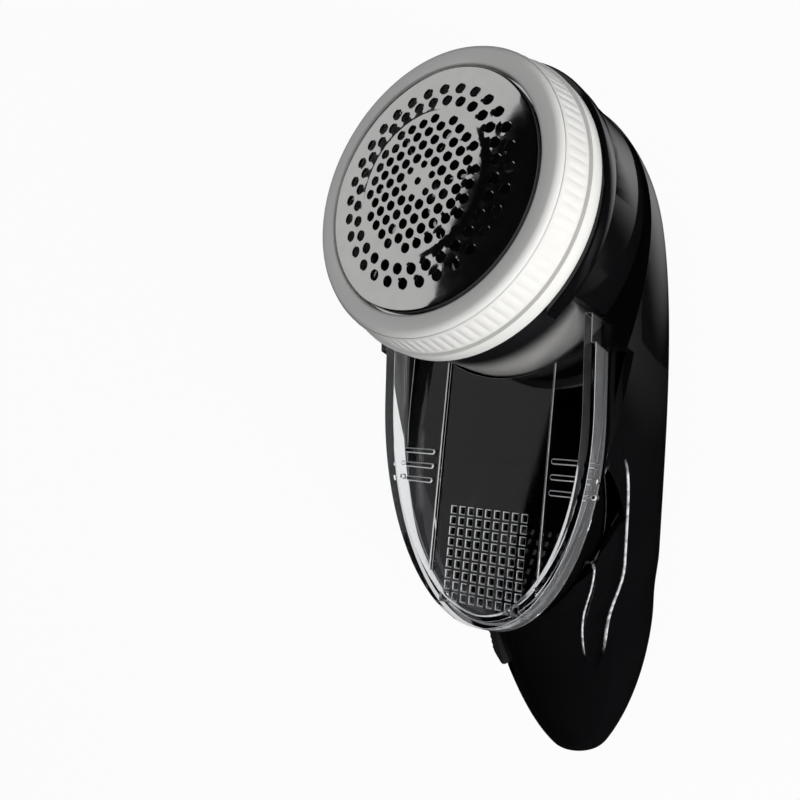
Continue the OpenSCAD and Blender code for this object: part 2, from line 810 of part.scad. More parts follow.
module circuit_board() {
    color("#1f6b3a") body_frame() front_place() difference() {
        slab(board_w, board_from, board_to, board_z, board_z + board_t);
        for (p = board_spots)
            translate([p[0], p[1], board_z - 1]) cylinder(r = small_r + snug, h = board_t + 2);
    }
}
module board_parts() {
    color("#26272a") body_frame() front_place() {
        slab(3, 9.4, 14.4, board_z - 1.6, board_z);
        slab(2.4, -3.6, 1.4, board_z - 2, board_z);
        translate([-6.5, 3.4, board_z - 5]) cylinder(r = 2.4, h = 5);
        translate([6.6, -1.6, board_z - 1.2]) cube([2.4, 3, 1.2]);
    }
}
module board_screws() {
    color(steel) body_frame() front_place() for (p = board_spots)
        translate([p[0], p[1], board_z - small_head_h])
            screw(small_r, board_t + 3.6, small_head_r, small_head_h);
}

// Power, in the body's frame
module battery_cell() {
    color("#3566a8") body_frame() along_body(cell_end) translate([0, -cell_z, 0]) {
        cylinder(r = cell_r, h = cell_len);
        translate([0, 0, cell_len]) cylinder(r = 3, h = 0.8);
    }
}
module battery_tabs() {
    color(steel) body_frame() {
        slab(2, cell_end - tab_t, cell_end, cell_z - 4, cell_z + 5);
        slab(2, cell_end + cell_len + 0.8, cell_end + cell_len + 0.8 + tab_t, cell_z - 3, cell_z + 5);
    }
}
module charge_jack() {
    color("#1b1b1d") body_frame() along_body(tail_end) translate([0, -jack_z, 0]) difference() {
        union() {
            cylinder(r = jack_r, h = jack_len);
            translate([0, 0, wall + slip]) cylinder(r = jack_flange, h = 1.8);
        }
        translate([0, 0, -1]) cylinder(r = jack_bore, h = jack_depth + 1);
        cylinder(r = pin_root_r, h = jack_len + 1);
    }
}
module jack_pin() {
    color(steel) body_frame() along_body(tail_end) translate([0, -jack_z, 0]) {
        translate([0, 0, 0.5]) cylinder(r = jack_pin_r, h = jack_depth);
        translate([0, 0, jack_depth]) cylinder(r = pin_root_r, h = jack_len - jack_depth);
    }
}
module housing_screws() {
    color(steel) body_frame() for (p = screw_spots)
        translate([p[0], p[1], p[2] - screw_run - screw_head_h])
            screw(screw_r, 2 * screw_run - 1, screw_head_r, screw_head_h);
}
module motor_leads() {
    color("#b3261e") body_frame() {
        lead(motor_route_a);
        lead(motor_route_b);
    }
}
module battery_leads() {
    color("#222326") body_frame() {
        lead(cell_route_a);
        lead(cell_route_b);
    }
}
module jack_leads() {
    color("#b3261e") body_frame() {
        lead(jack_route_a);
        lead(jack_route_b);
    }
}

rear_housing();
front_housing();
head_collar();
head_base();
lint_chute();
lock_ring();
foil();
cutter_carrier();
cutter_blades();
shaft_seal();
drive_shaft();
motor_rotor();
motor_magnets();
motor_can();
motor_end_cap();
motor_bushes();
motor_plate();
motor_screws();
plate_screws();
lint_bin();
switch_knob();
switch_body();
circuit_board();
board_parts();
board_screws();
battery_cell();
battery_tabs();
charge_jack();
jack_pin();
housing_screws();
motor_leads();
battery_leads();
jack_leads();
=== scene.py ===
import bpy
import bmesh
import json
from bisect import bisect
from math import radians, degrees, sin, cos, tan, atan2, hypot, sqrt, pi
from mathutils import Matrix, Vector


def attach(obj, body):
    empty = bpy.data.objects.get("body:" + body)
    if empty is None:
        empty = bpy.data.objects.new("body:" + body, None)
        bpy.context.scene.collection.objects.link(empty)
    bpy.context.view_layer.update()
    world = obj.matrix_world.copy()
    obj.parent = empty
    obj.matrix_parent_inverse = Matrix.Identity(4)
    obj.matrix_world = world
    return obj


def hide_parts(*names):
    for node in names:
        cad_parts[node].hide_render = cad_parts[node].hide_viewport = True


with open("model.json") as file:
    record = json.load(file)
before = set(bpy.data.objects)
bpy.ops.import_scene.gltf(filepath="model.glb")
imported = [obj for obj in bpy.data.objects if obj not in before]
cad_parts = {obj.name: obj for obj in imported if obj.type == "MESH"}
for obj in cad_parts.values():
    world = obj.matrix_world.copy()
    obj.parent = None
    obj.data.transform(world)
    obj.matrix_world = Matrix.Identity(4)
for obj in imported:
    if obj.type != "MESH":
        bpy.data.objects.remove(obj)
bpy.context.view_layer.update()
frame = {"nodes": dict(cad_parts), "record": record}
scene = bpy.context.scene
mm = 0.001
bodyOf = {node: body for body, nodes in frame["record"]["behaviour"]["bodies"].items() for node in nodes}

# where the object's own frames sit, in mm and degrees
layout = {"restHeight": 35.8, "restTilt": 7.8, "restAt": 50,
          "headAt": 8.5, "headTilt": -30, "headHeight": 33,
          "binAt": (0, -91.3, 32.4), "binTilt": -38,
          "switchAt": (0, -109.5, -8), "switchRoll": -38, "switchHeight": 25.545, "switchTilt": 9.9,
          "socketAt": (0, -147, -1.5)}


def move(x, y, z):
    return Matrix.Translation((x * mm, y * mm, z * mm))


def turn(angle, axis):
    return Matrix.Rotation(radians(angle), 4, axis)


bodyFrame = move(0, 0, layout["restHeight"]) @ turn(layout["restTilt"], "X") @ move(0, layout["restAt"], 0)
headFrame = bodyFrame @ move(0, layout["headAt"], 0) @ turn(layout["headTilt"], "X")
headFrame = headFrame @ move(0, 0, layout["headHeight"])
binFrame = bodyFrame @ move(*layout["binAt"]) @ turn(layout["binTilt"], "X")
switchFrame = bodyFrame @ move(*layout["switchAt"]) @ turn(layout["switchRoll"], "Y")
switchFrame = switchFrame @ move(0, 0, layout["switchHeight"]) @ turn(layout["switchTilt"], "X")
socketFrame = bodyFrame @ move(*layout["socketAt"]) @ turn(-90, "X")


def climbing(high, slope):
    # a plane over the bin's floor that climbs towards the head
    return binFrame @ move(0, 0, high) @ turn(slope, "X")


# small tools for modelling
def blockAt(place, low, high):
    bm = bmesh.new()
    bmesh.ops.create_cube(bm, size=1)
    size = [(b - a) * mm for a, b in zip(low, high)]
    middle = [(a + b) / 2 for a, b in zip(low, high)]
    bmesh.ops.scale(bm, vec=size, verts=bm.verts)
    bmesh.ops.transform(bm, matrix=place @ move(*middle), verts=bm.verts)
    return bm


def roomAbove(place):
    return blockAt(place, (-200, -200, 0), (200, 200, 200))


def rodAt(place, radius, low, high, sides=48):
    bm = bmesh.new()
    bmesh.ops.create_cone(bm, cap_ends=True, segments=sides, radius1=radius * mm, radius2=radius * mm,
                          depth=(high - low) * mm)
    bmesh.ops.transform(bm, matrix=place @ move(0, 0, (low + high) / 2), verts=bm.verts)
    return bm


def spinProfile(points, steps):
    bm = bmesh.new()
    verts = [bm.verts.new((r * mm, 0, z * mm)) for r, z in points]
    edges = [bm.edges.new((a, b)) for a, b in zip(verts, verts[1:] + verts[:1])]
    bmesh.ops.spin(bm, geom=verts + edges, cent=(0, 0, 0), axis=(0, 0, 1), angle=2 * pi, steps=steps,
                   use_merge=True)
    bmesh.ops.remove_doubles(bm, verts=bm.verts, dist=1e-7)
    bmesh.ops.recalc_face_normals(bm, faces=bm.faces)
    return bm


def vertsOf(made):
    return [g for g in made["geom"] if isinstance(g, bmesh.types.BMVert)]


def edgesOf(made):
    return [g for g in made["geom"] if isinstance(g, bmesh.types.BMEdge)]


def chamfer(bm, edges, width, segments=1):
    bmesh.ops.bevel(bm, geom=edges, offset=width * mm, segments=segments, profile=0.5, affect="EDGES",
                    material=-1)


def scratchObject(name, bm):
    mesh = bpy.data.meshes.new(name)
    bm.to_mesh(mesh)
    bm.free()
    piece = bpy.data.objects.new(name, mesh)
    scene.collection.objects.link(piece)
    return piece


def carve(piece, cutter, how="DIFFERENCE"):
    # the cutter is an object, which stays, or a bmesh, which is used up
    tool = cutter if isinstance(cutter, bpy.types.Object) else scratchObject("tool", cutter)
    cut = piece.modifiers.new("cut", "BOOLEAN")
    cut.object = tool
    cut.operation = how
    cut.solver = "MANIFOLD"
    bakeModifiers(piece)
    if tool is not cutter:
        dropObject(tool)
    return piece


def bakeModifiers(piece):
    bpy.context.view_layer.update()
    graph = bpy.context.evaluated_depsgraph_get()
    baked = bpy.data.meshes.new_from_object(piece.evaluated_get(graph))
    piece.modifiers.clear()
    old = piece.data
    piece.data = baked
    bpy.data.meshes.remove(old)


def dropObject(piece):
    mesh = piece.data
    bpy.data.objects.remove(piece)
    bpy.data.meshes.remove(mesh)


def twin(piece, name):
    copy = bpy.data.objects.new(name, piece.data.copy())
    scene.collection.objects.link(copy)
    return copy


def finishPiece(piece, material, body, nodes=(), smooth=30):
    piece.data.materials.clear()
    piece.data.materials.append(material)
    piece.data.shade_smooth()
    piece.data.set_sharp_from_angle(angle=radians(smooth))
    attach(piece, body)
    if nodes:
        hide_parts(*nodes)
    return piece


def softEdges(piece, width, angle=35, mark=-1):
    bevel = piece.modifiers.new("edges", "BEVEL")
    bevel.width = width * mm
    bevel.segments = 2
    bevel.profile = 0.5
    bevel.limit_method = "ANGLE"
    bevel.angle_limit = radians(angle)
    bevel.use_clamp_overlap = True
    bevel.miter_outer = "MITER_ARC"
    bevel.material = mark
    bakeModifiers(piece)


def cleanCopy(node, name):
    # a solid's mesh is loose triangles, so its copy is merged
    bm = bmesh.new()
    bm.from_mesh(frame["nodes"][node].data)
    bmesh.ops.remove_doubles(bm, verts=bm.verts, dist=2e-6)
    bmesh.ops.dissolve_limit(bm, angle_limit=radians(0.6), verts=bm.verts, edges=bm.edges)
    return scratchObject(name, bm)


print("tools ready")


# finishes
def newFinish(name, colour, roughness, metallic=0):
    material = bpy.data.materials.new(name)
    material.use_nodes = True
    shader = material.node_tree.nodes["Principled BSDF"]
    shader.inputs["Base Color"].default_value = (*colour, 1)
    shader.inputs["Roughness"].default_value = roughness
    shader.inputs["Metallic"].default_value = metallic
    return material, shader


def addNode(material, kind, **values):
    node = material.node_tree.nodes.new(kind)
    for key, value in values.items():
        if key in node.inputs:
            node.inputs[key].default_value = value
        else:
            setattr(node, key, value)
    return node


def feed(material, value, socket):
    # a colour or a number is set on the socket, an output is linked to it
    if isinstance(value, bpy.types.NodeSocket):
        material.node_tree.links.new(value, socket)
    elif isinstance(value, tuple):
        socket.default_value = (*value, 1)
    else:
        socket.default_value = value


def reckon(material, operation, *values):
    node = addNode(material, "ShaderNodeMath", operation=operation)
    for value, socket in zip(values, node.inputs):
        feed(material, value, socket)
    return node.outputs[0]


def blend(material, share, first, second):
    mix = addNode(material, "ShaderNodeMix", data_type="RGBA")
    for value, socket in ((share, 0), (first, 6), (second, 7)):
        feed(material, value, mix.inputs[socket])
    return mix.outputs[2]


def remap(material, value, span, result=(0, 1), shape="SMOOTHSTEP"):
    level = addNode(material, "ShaderNodeMapRange", interpolation_type=shape)
    for key, limit in zip(("From Min", "From Max", "To Min", "To Max"), (*span, *result)):
        level.inputs[key].default_value = limit
    feed(material, value, level.inputs["Value"])
    return level.outputs["Result"]


def grain(material, scale, detail=4):
    coord = addNode(material, "ShaderNodeTexCoord")
    noise = addNode(material, "ShaderNodeTexNoise", Scale=scale, Detail=detail)
    feed(material, coord.outputs["Object"], noise.inputs["Vector"])
    return noise.outputs["Fac"]


grains = {"span": (0.3, 0.7), "cloud": 60, "bumpDetail": 3, "bumpDeep": 0.0002,
          "metalDetail": 5, "metalDeep": 0.0001}


def spread(material, noise, low, high):
    return remap(material, noise, grains["span"], (low, high), "LINEAR")


def dent(material, noise, strength, distance, shader):
    bump = addNode(material, "ShaderNodeBump", Strength=strength, Distance=distance)
    feed(material, noise, bump.inputs["Height"])
    feed(material, bump.outputs["Normal"], shader.inputs["Normal"])


def plastic(name, dark, light, smooth, rough, bumps=0, bumpScale=900):
    material, shader = newFinish(name, light, rough)
    cloud = grain(material, grains["cloud"])
    feed(material, blend(material, cloud, dark, light), shader.inputs["Base Color"])
    feed(material, spread(material, cloud, smooth, rough), shader.inputs["Roughness"])
    if bumps:
        dent(material, grain(material, bumpScale, grains["bumpDetail"]), bumps, grains["bumpDeep"], shader)
    return material


# painted highlight: a pale broken line along the finger groove's borders
highlightPaint = {"core": 0.1, "fade": 0.42, "colour": (0.85, 0.85, 0.86), "patchScale": 650, "patches": (0.35, 1.4)}


def highlightedPlastic(*looks):
    # plastic with a painted highlight, a pale broken line: the mesh says how far away it is, in mm, and how
    # strong the painted highlight is
    material = plastic(*looks)
    colour = material.node_tree.nodes["Principled BSDF"].inputs["Base Color"]
    paintedHighlight = addNode(material, "ShaderNodeAttribute", attribute_name="paintedHighlight")
    parts = addNode(material, "ShaderNodeSeparateXYZ")
    feed(material, paintedHighlight.outputs["Vector"], parts.inputs[0])
    away = reckon(material, "ABSOLUTE", parts.outputs["X"])
    line = remap(material, away, (highlightPaint["core"], highlightPaint["fade"]), (1, 0))
    highlit = reckon(material, "MULTIPLY", line, parts.outputs["Y"])
    patches = spread(material, grain(material, highlightPaint["patchScale"], 2), *highlightPaint["patches"])
    broken = reckon(material, "MULTIPLY", highlit, patches)
    feed(material, blend(material, broken, colour.links[0].from_socket, highlightPaint["colour"]), colour)
    return material


def metal(name, dark, light, smooth, rough, scale=700, bumps=0.05):
    material, shader = newFinish(name, light, rough, 1)
    fine = grain(material, scale, grains["metalDetail"])
    feed(material, blend(material, fine, dark, light), shader.inputs["Base Color"])
    feed(material, spread(material, fine, smooth, rough), shader.inputs["Roughness"])
    dent(material, fine, bumps, grains["metalDeep"], shader)
    return material


def heightOver(material, place, axis, low, high):
    # share of the way from one level to another along an axis of the given place, in mm
    direction = place.col[axis].xyz
    start = place.translation.dot(direction)
    coord = addNode(material, "ShaderNodeTexCoord")
    height = addNode(material, "ShaderNodeVectorMath", operation="DOT_PRODUCT")
    height.inputs[1].default_value = direction
    feed(material, coord.outputs["Object"], height.inputs[0])
    return remap(material, height.outputs["Value"], (start + low * mm, start + high * mm))


finish = {
    # gloss black carries the painted highlight along the finger groove
    "gloss_black": highlightedPlastic("gloss_black", (0.0025, 0.0025, 0.003), (0.0045, 0.0045, 0.005), 0.05, 0.11),
    "satin_black": plastic("satin_black", (0.014, 0.014, 0.015), (0.024, 0.024, 0.026), 0.3, 0.42, 0.25,
                           2600),
    "white_plastic": plastic("white_plastic", (0.74, 0.73, 0.7), (0.82, 0.81, 0.785), 0.3, 0.42, 0.12, 1800),
    "cream_plastic": plastic("cream_plastic", (0.66, 0.62, 0.52), (0.76, 0.72, 0.62), 0.35, 0.5, 0.15, 1500),
    "chip_black": plastic("chip_black", (0.014, 0.014, 0.015), (0.03, 0.03, 0.03), 0.45, 0.6, 0.3, 3000),
    "seal_felt": plastic("seal_felt", (0.06, 0.056, 0.05), (0.13, 0.12, 0.11), 0.8, 0.95, 0.8, 2200),
    "ferrite": plastic("ferrite", (0.04, 0.04, 0.043), (0.1, 0.1, 0.105), 0.5, 0.75, 0.4, 1600),
    "board_green": plastic("board_green", (0.012, 0.11, 0.04), (0.03, 0.2, 0.08), 0.25, 0.4, 0.2, 700),
    "cell_wrap": plastic("cell_wrap", (0.04, 0.12, 0.33), (0.07, 0.18, 0.44), 0.15, 0.28, 0.1, 500),
    "lead_red": plastic("lead_red", (0.36, 0.02, 0.015), (0.5, 0.04, 0.03), 0.4, 0.55, 0.2, 900),
    "lead_black": plastic("lead_black", (0.014, 0.014, 0.015), (0.03, 0.03, 0.032), 0.4, 0.55, 0.2, 900),
    "polished_steel": metal("polished_steel", (0.66, 0.655, 0.65), (0.78, 0.775, 0.765), 0.05, 0.12, 260,
                            0.03),
    "blade_steel": metal("blade_steel", (0.48, 0.49, 0.5), (0.62, 0.63, 0.65), 0.18, 0.34),
    "plated_steel": metal("plated_steel", (0.42, 0.43, 0.45), (0.58, 0.59, 0.6), 0.2, 0.4),
    "screw_steel": metal("screw_steel", (0.34, 0.35, 0.37), (0.52, 0.53, 0.55), 0.22, 0.42),
    "copper_winding": metal("copper_winding", (0.4, 0.16, 0.06), (0.66, 0.32, 0.14), 0.25, 0.45, 1400, 0.3),
    "bronze": metal("bronze", (0.46, 0.32, 0.12), (0.64, 0.48, 0.22), 0.3, 0.5, 2200, 0.25),
}
print("finishes ready")


# the two halves of the housing
housing = {"tailEnd": -147, "gripEnd": -105, "nose": 59, "bodyR": 42, "gripR": 28.2, "tailR": 9, "wall": 2.2,
           "tailEdge": [(0, 0.9), (0.25, 0.3)], "tailHandle": 9, "tailSwell": 7, "gripHandle": 0.29,
           "gripDip": 1.7, "waistHandle": 0.667, "waistSwell": 5, "bodyHandle": 0.27, "nosePower": 2.4,
           "frontDrop": 8, "frontEnd": 11, "frontSlope": 9.9, "frontBend": -92, "seatSlope": 40,
           "bendRound": 9, "edgeRound": 5.0, "neckR": 39.4, "neckFoot": -36.9, "neckTop": -21.9,
           "neckFront": -22, "slip": 0.3}
# the groove's last four keys bound the painted highlight along its borders and keep it to the outer skin
groove = {"from": -45, "to": -112, "angleFrom": 23.5, "angleTo": 35, "halfFrom": 4.8, "halfTo": 4.6,
          "depth": 1.3, "endPower": 5, "endWidth": 0.35, "leastHalf": 1, "leastR": 12,
          "bead": 0.4, "beadHalf": 0.14, "highlightFrom": -48, "highlightTo": -107, "highlightFade": 5, "skinFacing": 0.4}
stationsPerRun = 44
innerPerRun = 20


def curveAt(a, b, c, d, t):
    return (1 - t) ** 3 * a + 3 * t * (1 - t) ** 2 * b + 3 * t * t * (1 - t) * c + t ** 3 * d


def bodyStations(inset, perRun):
    # places along the body and its radius there: tail, grip and nose
    h = housing
    end = h["tailEnd"] + inset
    ends = h["tailR"] - inset * 0.5
    grip = h["gripR"] - inset
    body = h["bodyR"] - inset
    nose = h["nose"] - inset
    gripEnd = h["gripEnd"]
    tailLen = gripEnd - h["tailEnd"]
    runs = [(end + along, ends - drop) for along, drop in h["tailEdge"]]
    for k in range(1, perRun):
        t = 1 - k / perRun
        runs.append((curveAt(gripEnd, gripEnd - h["gripHandle"] * tailLen, end + h["tailHandle"], end, t),
                     curveAt(grip, grip - h["gripDip"], ends + h["tailSwell"], ends, t)))
    for k in range(perRun):
        t = 1 - k / perRun
        runs.append((curveAt(0, h["bodyHandle"] * gripEnd, h["waistHandle"] * gripEnd, gripEnd, t),
                     curveAt(body, body, grip + h["waistSwell"], grip, t)))
    for k in range(perRun + 1):
        y = nose * sin(pi / 2 * k / perRun)
        runs.append((y, body * (1 - (y / nose) ** h["nosePower"])))
    return runs


def radiusAt(stations, y):
    i = min(max(bisect(stations, (y,)), 1), len(stations) - 1)
    (y0, r0), (y1, r1) = stations[i - 1], stations[i]
    return r0 + (r1 - r0) * (y - y0) / (y1 - y0)


def frontRadius(y):
    # the front is an arc whose radius grows towards the head, faster past the bend
    h = housing
    past = y - h["frontBend"]
    climb = past if past > h["bendRound"] else max(past + h["bendRound"], 0) ** 2 / (4 * h["bendRound"])
    straight = h["frontEnd"] + h["frontDrop"] + (y - h["tailEnd"]) * tan(radians(h["frontSlope"]))
    return straight + climb * (tan(radians(h["seatSlope"])) - tan(radians(h["frontSlope"])))


def softMin(a, b, width):
    if width <= 0:
        return min(a, b)
    share = min(max(0.5 + 0.5 * (b - a) / width, 0), 1)
    return b + (a - b) * share - width * share * (1 - share)


def grooveAt(y, radius):
    # angle of the middle and half the width, in degrees, and share of the full depth
    g = groove
    t = (y - g["from"]) / (g["to"] - g["from"])
    along = min(max(t, 0), 1)
    ends = max(1 - abs(2 * t - 1) ** g["endPower"], 0) ** 0.5
    middle = g["angleFrom"] + (g["angleTo"] - g["angleFrom"]) * along
    half = g["halfFrom"] + (g["halfTo"] - g["halfFrom"]) * along
    half = max(half * max(ends, g["endWidth"]), g["leastHalf"])
    return middle, degrees(half / max(radius, g["leastR"])), ends


# lines round one half of the body: the groove's borders, as (place, steps to the next)
beadIn = 1 - groove["beadHalf"]
beadOut = 1 + groove["beadHalf"]
grooveLines = [(-beadOut, 3), (-1, 3), (-beadIn, 8), (beadIn, 3), (1, 3), (beadOut, 18)]
backSteps = 34


def bodyAngles(y, radius):
    middle, width, ends = grooveAt(y, radius)
    marks = [-90] + [middle + width * place for place, steps in grooveLines] + [90]
    counts = [backSteps] + [steps for place, steps in grooveLines]
    angles = []
    for (a, b), n in zip(zip(marks, marks[1:]), counts):
        angles += [a + (b - a) * k / n for k in range(n)]
    return angles + [180 - a for a in [90] + angles[:0:-1]]


def bodySkin(name, inset, perRun):
    h = housing
    g = groove
    stations = bodyStations(inset, perRun)
    around = 2 * (backSteps + sum(steps for place, steps in grooveLines))
    bm = bmesh.new()
    bmesh.ops.create_grid(bm, x_segments=around, y_segments=len(stations) - 1, size=1)
    lines = {j: bodyAngles(*station) for j, station in enumerate(stations)}
    for v in bm.verts:
        i = round((v.co.x + 1) / 2 * around) % around
        j = round((v.co.y + 1) / 2 * (len(stations) - 1))
        y, radius = stations[j]
        angle = lines[j][i]
        up, out = sin(radians(angle)), cos(radians(angle))
        front = frontRadius(y) - inset
        reach = -h["frontDrop"] * up + sqrt(front ** 2 - (h["frontDrop"] * out) ** 2)
        r = softMin(radius, reach, min(h["edgeRound"], radius))
        middle, width, ends = grooveAt(y, radius)
        side = angle if angle <= 90 else 180 - angle
        across = abs(side - middle) / width
        if inset == 0 and across < 1:
            r -= g["depth"] * ends * (1 - across ** 3)
        if inset == 0 and abs(across - 1) < g["beadHalf"]:  # fine bead along the groove's borders
            r += g["bead"] * ends * (1 - ((across - 1) / g["beadHalf"]) ** 2)
        v.co = Vector((r * out, y, r * up)) * mm
    bmesh.ops.remove_doubles(bm, verts=bm.verts, dist=1e-6)
    bmesh.ops.holes_fill(bm, edges=[e for e in bm.edges if e.is_boundary], sides=0)
    bmesh.ops.recalc_face_normals(bm, faces=bm.faces)
    bmesh.ops.transform(bm, matrix=bodyFrame, verts=bm.verts)
    return scratchObject(name, bm)


def keepUnderHead(piece, inset):
    h = housing
    foot = h["neckFoot"] - inset
    top = h["neckTop"] + (1 if inset else 0)
    keep = scratchObject("keep", blockAt(headFrame, (-200, -200, -300), (200, 200, foot)))
    carve(keep, rodAt(headFrame, h["neckR"] - inset, foot - 1, top, 160), "UNION")
    carve(piece, keep, "INTERSECT")
    dropObject(keep)
    return piece


def innerSkin(inset):
    return keepUnderHead(bodySkin("skin", inset, innerPerRun), inset)


seat = {"half": 32.4, "long": 85, "lipHalf": 60, "lipFrom": 1.2, "lipSlope": 19, "lipLong": 69,
        "neckSlip": 0.01, "neckDeep": 2.5, "chuteHalf": 28.8, "chuteFoot": -45.8}
screwSpots = [(-19, -70, -4), (19, -70, -4), (-33, -10, -8), (33, -10, -8), (0, -126, -2)]
screw = {"run": 11, "postR": 3.7, "headR": 2.6, "headH": 1.8, "headSlip": 0.3,
         "shankR": 1.25, "shankSlip": 0.2, "cross": (1.5, 0.3), "crossDeep": 0.8}
boardSpots = [(-7.5, -9), (7.5, -9), (-7.5, 17.5), (7.5, 17.5)]
switchSeat = {"postR": 2.6, "postFoot": -11.4, "postTop": 40, "pad": ((-9, -17, -4.8), (9, 10, 60)),
              "pocket": ((-4.8, -11.8, -2.4), (4.8, 6.8, 60)), "slot": ((-1.9, -8.5, -24.8), (1.9, 3.5, 60))}
socketHole = {"radius": 4.65, "low": -1, "high": 12}
rearHalf = ((-200, -300, -200), (200, 300, 0))
frontHalf = ((-200, -300, 0), (200, 300, 200))


def seatCutter():
    s = seat
    h = housing
    half = s["lipHalf"]
    cutter = scratchObject("seatCut", blockAt(binFrame, (-s["half"], -40, 0), (s["half"], s["long"], 60)))
    lip = scratchObject("lipCut", blockAt(binFrame, (-half, -40, 0), (half, s["lipLong"], 80)))
    carve(lip, roomAbove(climbing(s["lipFrom"], s["lipSlope"])), "INTERSECT")
    carve(cutter, lip, "UNION")
    neckFoot = h["neckFoot"] - s["neckDeep"]
    neck = scratchObject("neckKeep", rodAt(headFrame, h["neckR"] + s["neckSlip"], neckFoot, 0, 160))
    carve(neck, blockAt(headFrame, (-60, h["neckFront"], -80), (60, 60, 0)), "INTERSECT")
    carve(cutter, neck)
    for piece in (lip, neck):
        dropObject(piece)
    return cutter


def addRearPosts(rear, middle):
    # screw posts, the flat back and the holes of the screws
    for x, y, z in screwSpots:
        post = scratchObject("post", rodAt(bodyFrame @ move(x, y, 0), screw["postR"], -60, z))
        carve(post, middle, "INTERSECT")
        carve(rear, post, "UNION")
        dropObject(post)
    carve(rear, blockAt(Matrix.Identity(4), (-300, -300, -300), (300, 300, 0)))
    for x, y, z in screwSpots:
        low = z - screw["run"]
        spot = bodyFrame @ move(x, y, 0)
        carve(rear, rodAt(spot, screw["shankR"] + screw["shankSlip"], low - 1, z + 1))
        carve(rear, rodAt(spot, screw["headR"] + screw["headSlip"], -70, low))


def addFrontPosts(front, middle):
    # screw posts, posts of the board and the switch's pad
    w = switchSeat
    pads = [rodAt(bodyFrame @ move(x, y, 0), screw["postR"], z, 60) for x, y, z in screwSpots]
    for x, y in boardSpots:
        pads.append(rodAt(switchFrame @ move(x, y, 0), w["postR"], w["postFoot"], w["postTop"]))
    pads.append(blockAt(switchFrame, *w["pad"]))
    for pad in pads:
        post = scratchObject("post", pad)
        carve(post, blockAt(binFrame, (-60, -60, -housing["wall"] / 2), (60, 160, 160)))
        carve(post, middle, "INTERSECT")
        carve(post, blockAt(bodyFrame, *frontHalf), "INTERSECT")
        carve(front, post, "UNION")
        dropObject(post)


def addSeatWalls(front, middle, loose):
    # walls round the bin's seat: inside the rear half with play, into the front half's shell
    h = housing
    s = seat
    half = s["half"] + h["wall"]
    end = s["long"] + h["wall"]
    walls = scratchObject("walls", blockAt(binFrame, (-half, -40, -h["wall"]), (half, end, 60)))
    carve(walls, blockAt(binFrame, (-s["half"], -41, 0), (s["half"], s["long"], 61)))
    carve(walls, blockAt(headFrame, (-s["chuteHalf"], -60, s["chuteFoot"]), (s["chuteHalf"], 30, 0)))
    carve(walls, blockAt(headFrame, (-60, -90, h["neckFoot"] - 1), (60, 60, 0)))
    high = twin(walls, "wallsHigh")
    carve(high, middle, "INTERSECT")
    carve(high, blockAt(bodyFrame, *frontHalf), "INTERSECT")
    carve(walls, loose, "INTERSECT")
    for piece in (walls, high):
        carve(front, piece, "UNION")
        dropObject(piece)


def makeHousings():
    h = housing
    outer = keepUnderHead(bodySkin("outer", 0, stationsPerRun), 0)
    inner = innerSkin(h["wall"])
    middle = innerSkin(h["wall"] / 2)
    loose = innerSkin(h["wall"] + h["slip"])
    rear = twin(outer, "rearHousing")
    carve(rear, inner)
    front = twin(rear, "frontHousing")
    carve(rear, blockAt(bodyFrame, *rearHalf), "INTERSECT")
    carve(front, blockAt(bodyFrame, *frontHalf), "INTERSECT")
    addRearPosts(rear, middle)
    addFrontPosts(front, middle)
    addSeatWalls(front, middle, loose)
    cut = seatCutter()
    carve(front, cut)
    carve(rear, cut)
    for opening in ("pocket", "slot"):
        carve(front, blockAt(switchFrame, *switchSeat[opening]))
    for piece in (front, rear):
        carve(piece, rodAt(socketFrame, socketHole["radius"], socketHole["low"], socketHole["high"]))
    for piece in (cut, outer, inner, middle, loose):
        dropObject(piece)
    return rear, front


def paintGrooveHighlight(piece):
    # painted highlight along the groove's borders, on the outer skin only
    g = groove
    mesh = piece.data
    away = bodyFrame.inverted()
    stations = bodyStations(0, stationsPerRun)
    paintedHighlight = mesh.attributes.new("paintedHighlight", "FLOAT_VECTOR", "CORNER")
    for face in mesh.polygons:
        normal = away.to_3x3() @ face.normal
        for corner in face.loop_indices:
            x, y, z = (away @ mesh.vertices[mesh.loops[corner].vertex_index].co) / mm
            middle, width, ends = grooveAt(y, radiusAt(stations, y))
            apart = abs(degrees(atan2(z, abs(x))) - middle) - width
            highlit = min(g["highlightFrom"] - y, y - g["highlightTo"]) / g["highlightFade"]
            if Vector((x, 0, z)).normalized().dot(normal) < g["skinFacing"]:
                highlit = 0
            paintedHighlight.data[corner].vector = (radians(apart) * hypot(x, z), min(max(highlit, 0), 1), 0)


rearHousing, frontHousing = makeHousings()
# paint the highlight along the finger groove on both halves
paintGrooveHighlight(rearHousing)
paintGrooveHighlight(frontHousing)
finishPiece(rearHousing, finish["gloss_black"], "housing", ["rear_housing"])
finishPiece(frontHousing, finish["gloss_black"], "housing", ["front_housing"])
print("housings", len(rearHousing.data.polygons), len(frontHousing.data.polygons))


# white lock ring with its fluted band; the small lists are steps away from a corner of its profile
ring = {"lipR": 30.8, "frontR": 36, "footR": 37.7, "boreR": 34.8, "front": -3.6, "foot": -13, "lipDeep": 2,
        "lipRound": [(0, -0.9), (0.12, -0.5), (0.4, -0.15), (0.9, 0.02)], "lipWide": 0.6, "ledge": 0.4,
        "frontDip": 0.3, "shoulder": 1.8, "shoulderSteps": 12, "bandTop": -5.6, "bandFoot": -12.5,
        "bandStep": [(0.12, 0.15), (0.32, -0.15)], "bandOut": 0.36, "bandDip": 0.3, "bandSteps": 8,
        "footOut": 0.5, "footDip": 0.25, "footRound": [(0, 0.3), (-0.12, 0.08), (-0.35, 0)],
        "flutes": 90, "fluteSteps": 8, "fluteDepth": 0.22, "fluteEnds": 0.6, "fluteSink": 0.35}


